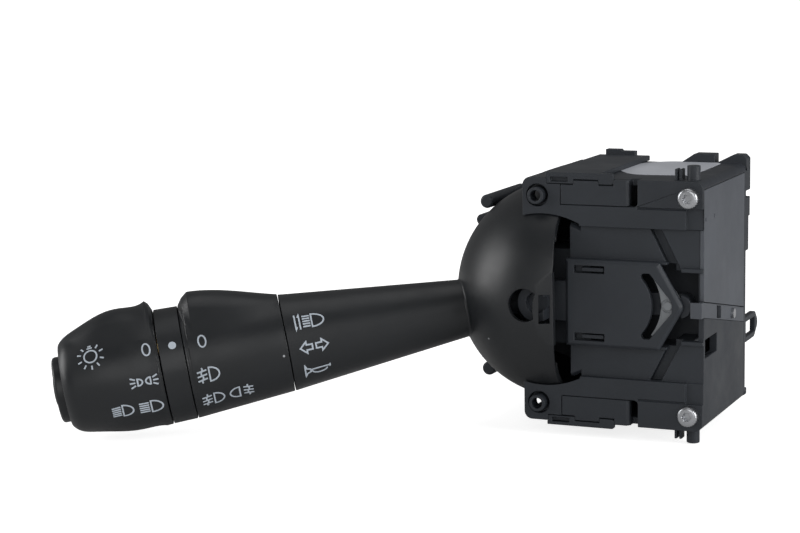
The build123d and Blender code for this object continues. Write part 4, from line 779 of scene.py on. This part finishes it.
def screw_row_tree(material):
    """A node tree that sets copies of a screw in a row, from a start and a step."""
    tree = bpy.data.node_groups.new("Screw row", "GeometryNodeTree")
    for label, kind in (
        ("Geometry", "NodeSocketGeometry"), ("Start", "NodeSocketVector"), ("Step", "NodeSocketVector"),
        ("Turn", "NodeSocketFloat"), ("Count", "NodeSocketInt"),
    ):
        tree.interface.new_socket(name=label, in_out="INPUT", socket_type=kind)
    tree.interface.new_socket(name="Geometry", in_out="OUTPUT", socket_type="NodeSocketGeometry")
    entry, end = tree.nodes.new("NodeGroupInput"), tree.nodes.new("NodeGroupOutput")
    row = tree.nodes.new("GeometryNodeMeshLine")
    place = tree.nodes.new("GeometryNodeInstanceOnPoints")
    turn = tree.nodes.new("ShaderNodeCombineXYZ")
    real = tree.nodes.new("GeometryNodeRealizeInstances")
    paint = tree.nodes.new("GeometryNodeSetMaterial")
    paint.inputs["Material"].default_value = material
    wire(tree, entry.outputs["Count"], row.inputs["Count"])
    wire(tree, entry.outputs["Start"], row.inputs["Start Location"])
    wire(tree, entry.outputs["Step"], row.inputs["Offset"])
    wire(tree, row.outputs["Mesh"], place.inputs["Points"])
    wire(tree, entry.outputs["Geometry"], place.inputs["Instance"])
    wire(tree, entry.outputs["Turn"], turn.inputs["Z"])
    wire(tree, turn.outputs["Vector"], place.inputs["Rotation"])
    wire(tree, place.outputs["Instances"], real.inputs["Geometry"])
    wire(tree, real.outputs["Geometry"], paint.inputs["Geometry"])
    wire(tree, paint.outputs["Geometry"], end.inputs["Geometry"])
    return tree


def screw_row(name, mesh, tree, material, start, turn, node):
    """A pair of screws one above the other, which stands for the CAD node."""
    row = new_piece(name, mesh.copy(), material)
    modifier = row.modifiers.new("row", "NODES")
    modifier.node_group = tree
    lower, pitch = (start.x, start.y, -start.z), (0.0, 0.0, 2 * start.z)
    values = {"Start": lower, "Step": pitch, "Turn": turn, "Count": 2}
    for item in tree.interface.items_tree:
        if item.in_out == "INPUT" and item.name in values:
            modifier[item.identifier] = values[item.name]
    settle(row)
    row.data.shade_smooth()
    row.data.set_sharp_from_angle(angle=CREASE)
    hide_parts(node)
    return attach(row, NODES[node]["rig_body"])


# Operators


class STALK_OT_finish_housing(bpy.types.Operator):
    """Rounds and grains the housing's mouldings"""

    bl_idname = "stalk.finish_housing"
    bl_label = "Finish the housing"

    def execute(self, context):
        sizes, colours, _ = properties()
        grain = {"grain": 2600.0, "depth": 0.04 * MM}
        black = moulded_plastic("Grained black plastic", colours.housing, smooth=0.42, rough=0.56, **grain)
        grey = moulded_plastic("Grained grey plastic", colours.panel, smooth=0.44, rough=0.56, **grain)
        for node in HOUSING_MOULDINGS:
            moulding(node, sizes.edge, black)
        for node in PANEL_MOULDINGS:
            moulding(node, sizes.fine_edge, grey, merge_flats=node != "side_strip")
        return {"FINISHED"}


class STALK_OT_finish_lever(bpy.types.Operator):
    """Rounds and polishes the lever's mouldings"""

    bl_idname = "stalk.finish_lever"
    bl_label = "Finish the lever"

    def execute(self, context):
        sizes, colours, _ = properties()
        satin = moulded_plastic(
            "Satin black plastic", colours.lever, smooth=0.34, rough=0.46, grain=3400.0, depth=0.018 * MM,
            dust=150.0, specular=0.42,
        )
        for node in LEVER_MOULDINGS:
            moulding(node, sizes.fine_edge, satin, merge_flats=node != "lever_shell")
        return {"FINISHED"}


class STALK_OT_finish_mechanism(bpy.types.Operator):
    """Gives the pieces inside the housing and the lever their materials"""

    bl_idname = "stalk.finish_mechanism"
    bl_label = "Finish the mechanism"

    def execute(self, context):
        sizes, colours, _ = properties()
        sheen = {"smooth": 0.3, "rough": 0.42, "grain": 1800.0, "depth": 0.02 * MM}
        nylon = moulded_plastic("Natural nylon", colours.nylon, **sheen)
        # The pawl has the nylon pieces' finish but a darker colour, which is painted shade of the slot it
        # sits in
        pawl = moulded_plastic("Worn pawl nylon", colours.pawl, **sheen)
        inner = moulded_plastic(
            "Inner black plastic", colours.housing, smooth=0.45, rough=0.6, grain=2200.0, depth=0.03 * MM,
        )
        moulding("cancel_pawl", sizes.fine_edge, pawl)
        coat(NYLON_PIECES, nylon)
        coat(HIDDEN_MOULDINGS, inner)
        coat(STEEL_PIECES, metal("Ground steel pins", colours.zinc, smooth=0.2, rough=0.32))
        coat(WIRE_PIECES, metal("Drawn spring wire", colours.wire, smooth=0.28, rough=0.4, lines=1500.0))
        coat(BRASS_PIECES, metal("Stamped contact brass", colours.brass, smooth=0.25, rough=0.38))
        return {"FINISHED"}


class STALK_OT_fit_screws(bpy.types.Operator):
    """Sets six-lobed screws at the front and the rear"""

    bl_idname = "stalk.fit_screws"
    bl_label = "Fit the screws"

    def execute(self, context):
        sizes, colours, _ = properties()
        zinc = metal("Bright zinc", colours.zinc, smooth=0.24, rough=0.38)
        coat(BRIGHT_PINS, zinc)
        tree = screw_row_tree(zinc)
        screw = lobed_screw(sizes.knurls)
        screw_row("front_torx_screws", screw, tree, zinc, FRONT_SCREW, 0.0, "front_screws")
        screw_row("rear_torx_screws", screw, tree, zinc, REAR_SCREW, math.pi, "rear_screws")
        return {"FINISHED"}


class STALK_OT_print_symbols(bpy.types.Operator):
    """Prints the lamp, horn and position symbols on the lever"""

    bl_idname = "stalk.print_symbols"
    bl_label = "Print the symbols"

    def execute(self, context):
        sizes, colours, _ = properties()
        ink_material = moulded_plastic(
            "Pad print ink", colours.print, smooth=0.45, rough=0.6, grain=5000.0, depth=0.008 * MM,
        )
        stroke_mm = sizes.stroke / MM
        for node in sorted({symbol[0] for symbol in SYMBOLS} | {INDEX_DOT[0]}):
            surface = bpy.data.objects[f"{node}_moulding"]
            tree = BVHTree.FromObject(surface, context.evaluated_depsgraph_get())
            ink = bmesh.new()
            for _, drawing, along, turn in (s for s in SYMBOLS if s[0] == node):
                for stroke in drawing():
                    print_faces(ink, tree, stroke_faces(stroke, stroke_mm), along, turn, sizes.film)
            if node == INDEX_DOT[0]:
                print_faces(ink, tree, disc_faces(INDEX_DOT_R), *INDEX_DOT[1:], sizes.film)
            mesh = bpy.data.meshes.new(f"{node}_print")
            ink.to_mesh(mesh)
            ink.free()
            piece = new_piece(mesh.name, mesh, ink_material)
            film = piece.modifiers.new("film", "SOLIDIFY")
            film.thickness = sizes.film
            film.offset = -1.0
            settle(piece)
            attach(piece, NODES[node]["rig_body"])
        return {"FINISHED"}


class STALK_OT_stick_label(bpy.types.Operator):
    """Lays the blank label on top of the housing"""

    bl_idname = "stalk.stick_label"
    bl_label = "Stick the label"

    def execute(self, context):
        sizes, colours, _ = properties()
        film = moulded_plastic(
            "Blank label film", colours.label, smooth=0.3, rough=0.45, grain=900.0, depth=0.01 * MM,
        )
        outline = arc(LABEL_CENTRE, LABEL_ROUND, 90, 270, 25) + LABEL_CORNERS
        sheet = bmesh.new()
        level = TOP_FACE * MM + sizes.label
        face = sheet.faces.new([sheet.verts.new((x * MM, y * MM, level)) for x, y in outline])
        if face.normal.z < 0:
            face.normal_flip()
        sheet.normal_update()
        mesh = bpy.data.meshes.new("blank_label")
        sheet.to_mesh(mesh)
        sheet.free()
        label = new_piece(mesh.name, mesh, film)
        thick = label.modifiers.new("thickness", "SOLIDIFY")
        thick.thickness = sizes.label
        thick.offset = -1.0
        settle(label)
        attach(label, NODES["main_housing"]["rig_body"])
        return {"FINISHED"}


def lamp_at(name, place, target, size, power):
    """A square soft lamp aimed at a point."""
    data = bpy.data.lights.new(name, "AREA")
    data.size = size
    data.energy = power
    lamp_object = bpy.data.objects.new(name, data)
    lamp_object.location = place
    lamp_object.rotation_euler = (Vector(target) - Vector(place)).to_track_quat("-Z", "Y").to_euler()
    bpy.context.scene.collection.objects.link(lamp_object)


def white_background(ambient):
    """A world that is white to the camera, also through clear pieces, and gives a weak even light."""
    world = bpy.data.worlds.new("Studio")
    bpy.context.scene.world = world
    world.use_nodes = True
    tree = world.node_tree
    backdrop = tree.nodes["Background"]
    backdrop.inputs["Color"].default_value = (1, 1, 1, 1)
    path = tree.nodes.new("ShaderNodeLightPath")
    seen = maths(tree, "MAXIMUM", path.outputs["Is Camera Ray"], path.outputs["Is Transmission Ray"])
    strength = remap(tree, seen, 0.0, 1.0, ambient, 1.0)
    wire(tree, strength, backdrop.inputs["Strength"])


def floor_material():
    """A floor that the camera sees as paper white, plainer with distance, and that takes a soft shadow."""
    material, tree, shader = new_material("White floor")
    shader.inputs["Base Color"].default_value = (0.8, 0.8, 0.8, 1)
    shader.inputs["Roughness"].default_value = 0.9
    shader.inputs["Specular IOR Level"].default_value = 0.0
    path = tree.nodes.new("ShaderNodeLightPath")
    shader.inputs["Emission Color"].default_value = (1, 1, 1, 1)
    distance = tree.nodes.new("ShaderNodeVectorMath")
    distance.operation = "LENGTH"
    wire(tree, tree.nodes.new("ShaderNodeTexCoord").outputs["Object"], distance.inputs[0])
    glow = remap(tree, distance.outputs["Value"], GLOW_FROM, GLOW_TO, NEAR_GLOW, FAR_GLOW)
    lift = remap(tree, path.outputs["Is Camera Ray"], 0.0, 1.0, 0.0, glow)
    wire(tree, lift, shader.inputs["Emission Strength"])
    return material


def lay_floor(level):
    """Lays the floor at a level."""
    corners = [(x * FLOOR_REACH, y * FLOOR_REACH, level) for x, y in ((-1, -1), (1, -1), (1, 1), (-1, 1))]
    mesh = bpy.data.meshes.new("floor")
    mesh.from_pydata(corners, [], [(0, 1, 2, 3)])
    new_piece("floor", mesh, floor_material())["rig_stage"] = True


def aim_camera():
    """Sets the camera in its solved place."""
    data = bpy.data.cameras.new("camera")
    data.lens = LENS
    data.sensor_width = SENSOR
    data.clip_start = NEAREST
    camera = bpy.data.objects.new("camera", data)
    right = Vector((math.cos(CAMERA_YAW), math.sin(CAMERA_YAW), 0))
    ahead = Vector((
        -math.sin(CAMERA_YAW) * math.cos(CAMERA_PITCH),
        math.cos(CAMERA_YAW) * math.cos(CAMERA_PITCH),
        -math.sin(CAMERA_PITCH),
    ))
    above = right.cross(ahead)
    turned_right = right * math.cos(CAMERA_ROLL) + above * math.sin(CAMERA_ROLL)
    turned_above = above * math.cos(CAMERA_ROLL) - right * math.sin(CAMERA_ROLL)
    basis = Matrix((turned_right, turned_above, -ahead)).transposed().to_4x4()
    camera.matrix_world = Matrix.Translation(CAMERA_PLACE) @ basis
    bpy.context.scene.collection.objects.link(camera)
    bpy.context.scene.camera = camera


class STALK_OT_set_stage(bpy.types.Operator):
    """Sets the floor, the lamps, the background and the camera"""

    bl_idname = "stalk.set_stage"
    bl_label = "Set the stage"

    def execute(self, context):
        _, _, studio = properties()
        low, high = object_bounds()
        lay_floor(low.z - FLOOR_GAP)
        for name, place, size, level in LAMPS:
            lamp_at(name, place, (low + high) / 2, size, getattr(studio, level))
        white_background(studio.ambient)
        aim_camera()
        context.scene.view_settings.view_transform = "Standard"
        return {"FINISHED"}


STEPS = (
    STALK_OT_finish_housing, STALK_OT_finish_lever, STALK_OT_finish_mechanism, STALK_OT_fit_screws,
    STALK_OT_print_symbols, STALK_OT_stick_label, STALK_OT_set_stage,
)
GROUPS = {"stalk_sizes": StalkSizes, "stalk_colours": StalkColours, "stalk_studio": StalkStudio}


class STALK_PT_sidebar(bpy.types.Panel):
    """Lists the steps and their values"""

    bl_label = "Stalk switch"
    bl_idname = "STALK_PT_sidebar"
    bl_space_type = "VIEW_3D"
    bl_region_type = "UI"
    bl_category = "Stalk switch"

    def draw(self, context):
        for step in STEPS:
            self.layout.operator(step.bl_idname)
        for name, group in GROUPS.items():
            box = self.layout.box()
            for value in group.__annotations__:
                box.prop(getattr(context.scene, name), value)


def register():
    """Adds the properties, operators and panel."""
    for item in (*GROUPS.values(), *STEPS, STALK_PT_sidebar):
        bpy.utils.register_class(item)
    for name, group in GROUPS.items():
        setattr(bpy.types.Scene, name, PointerProperty(type=group))


def unregister():
    """Takes them away again."""
    for name in GROUPS:
        delattr(bpy.types.Scene, name)
    for item in (STALK_PT_sidebar, *reversed(STEPS), *reversed(list(GROUPS.values()))):
        bpy.utils.unregister_class(item)


def main():
    """Runs every step in order."""
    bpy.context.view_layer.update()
    register()
    for step in STEPS:
        area, name = step.bl_idname.split(".")
        getattr(getattr(bpy.ops, area), name)()


if __name__ == "__main__":
    main()
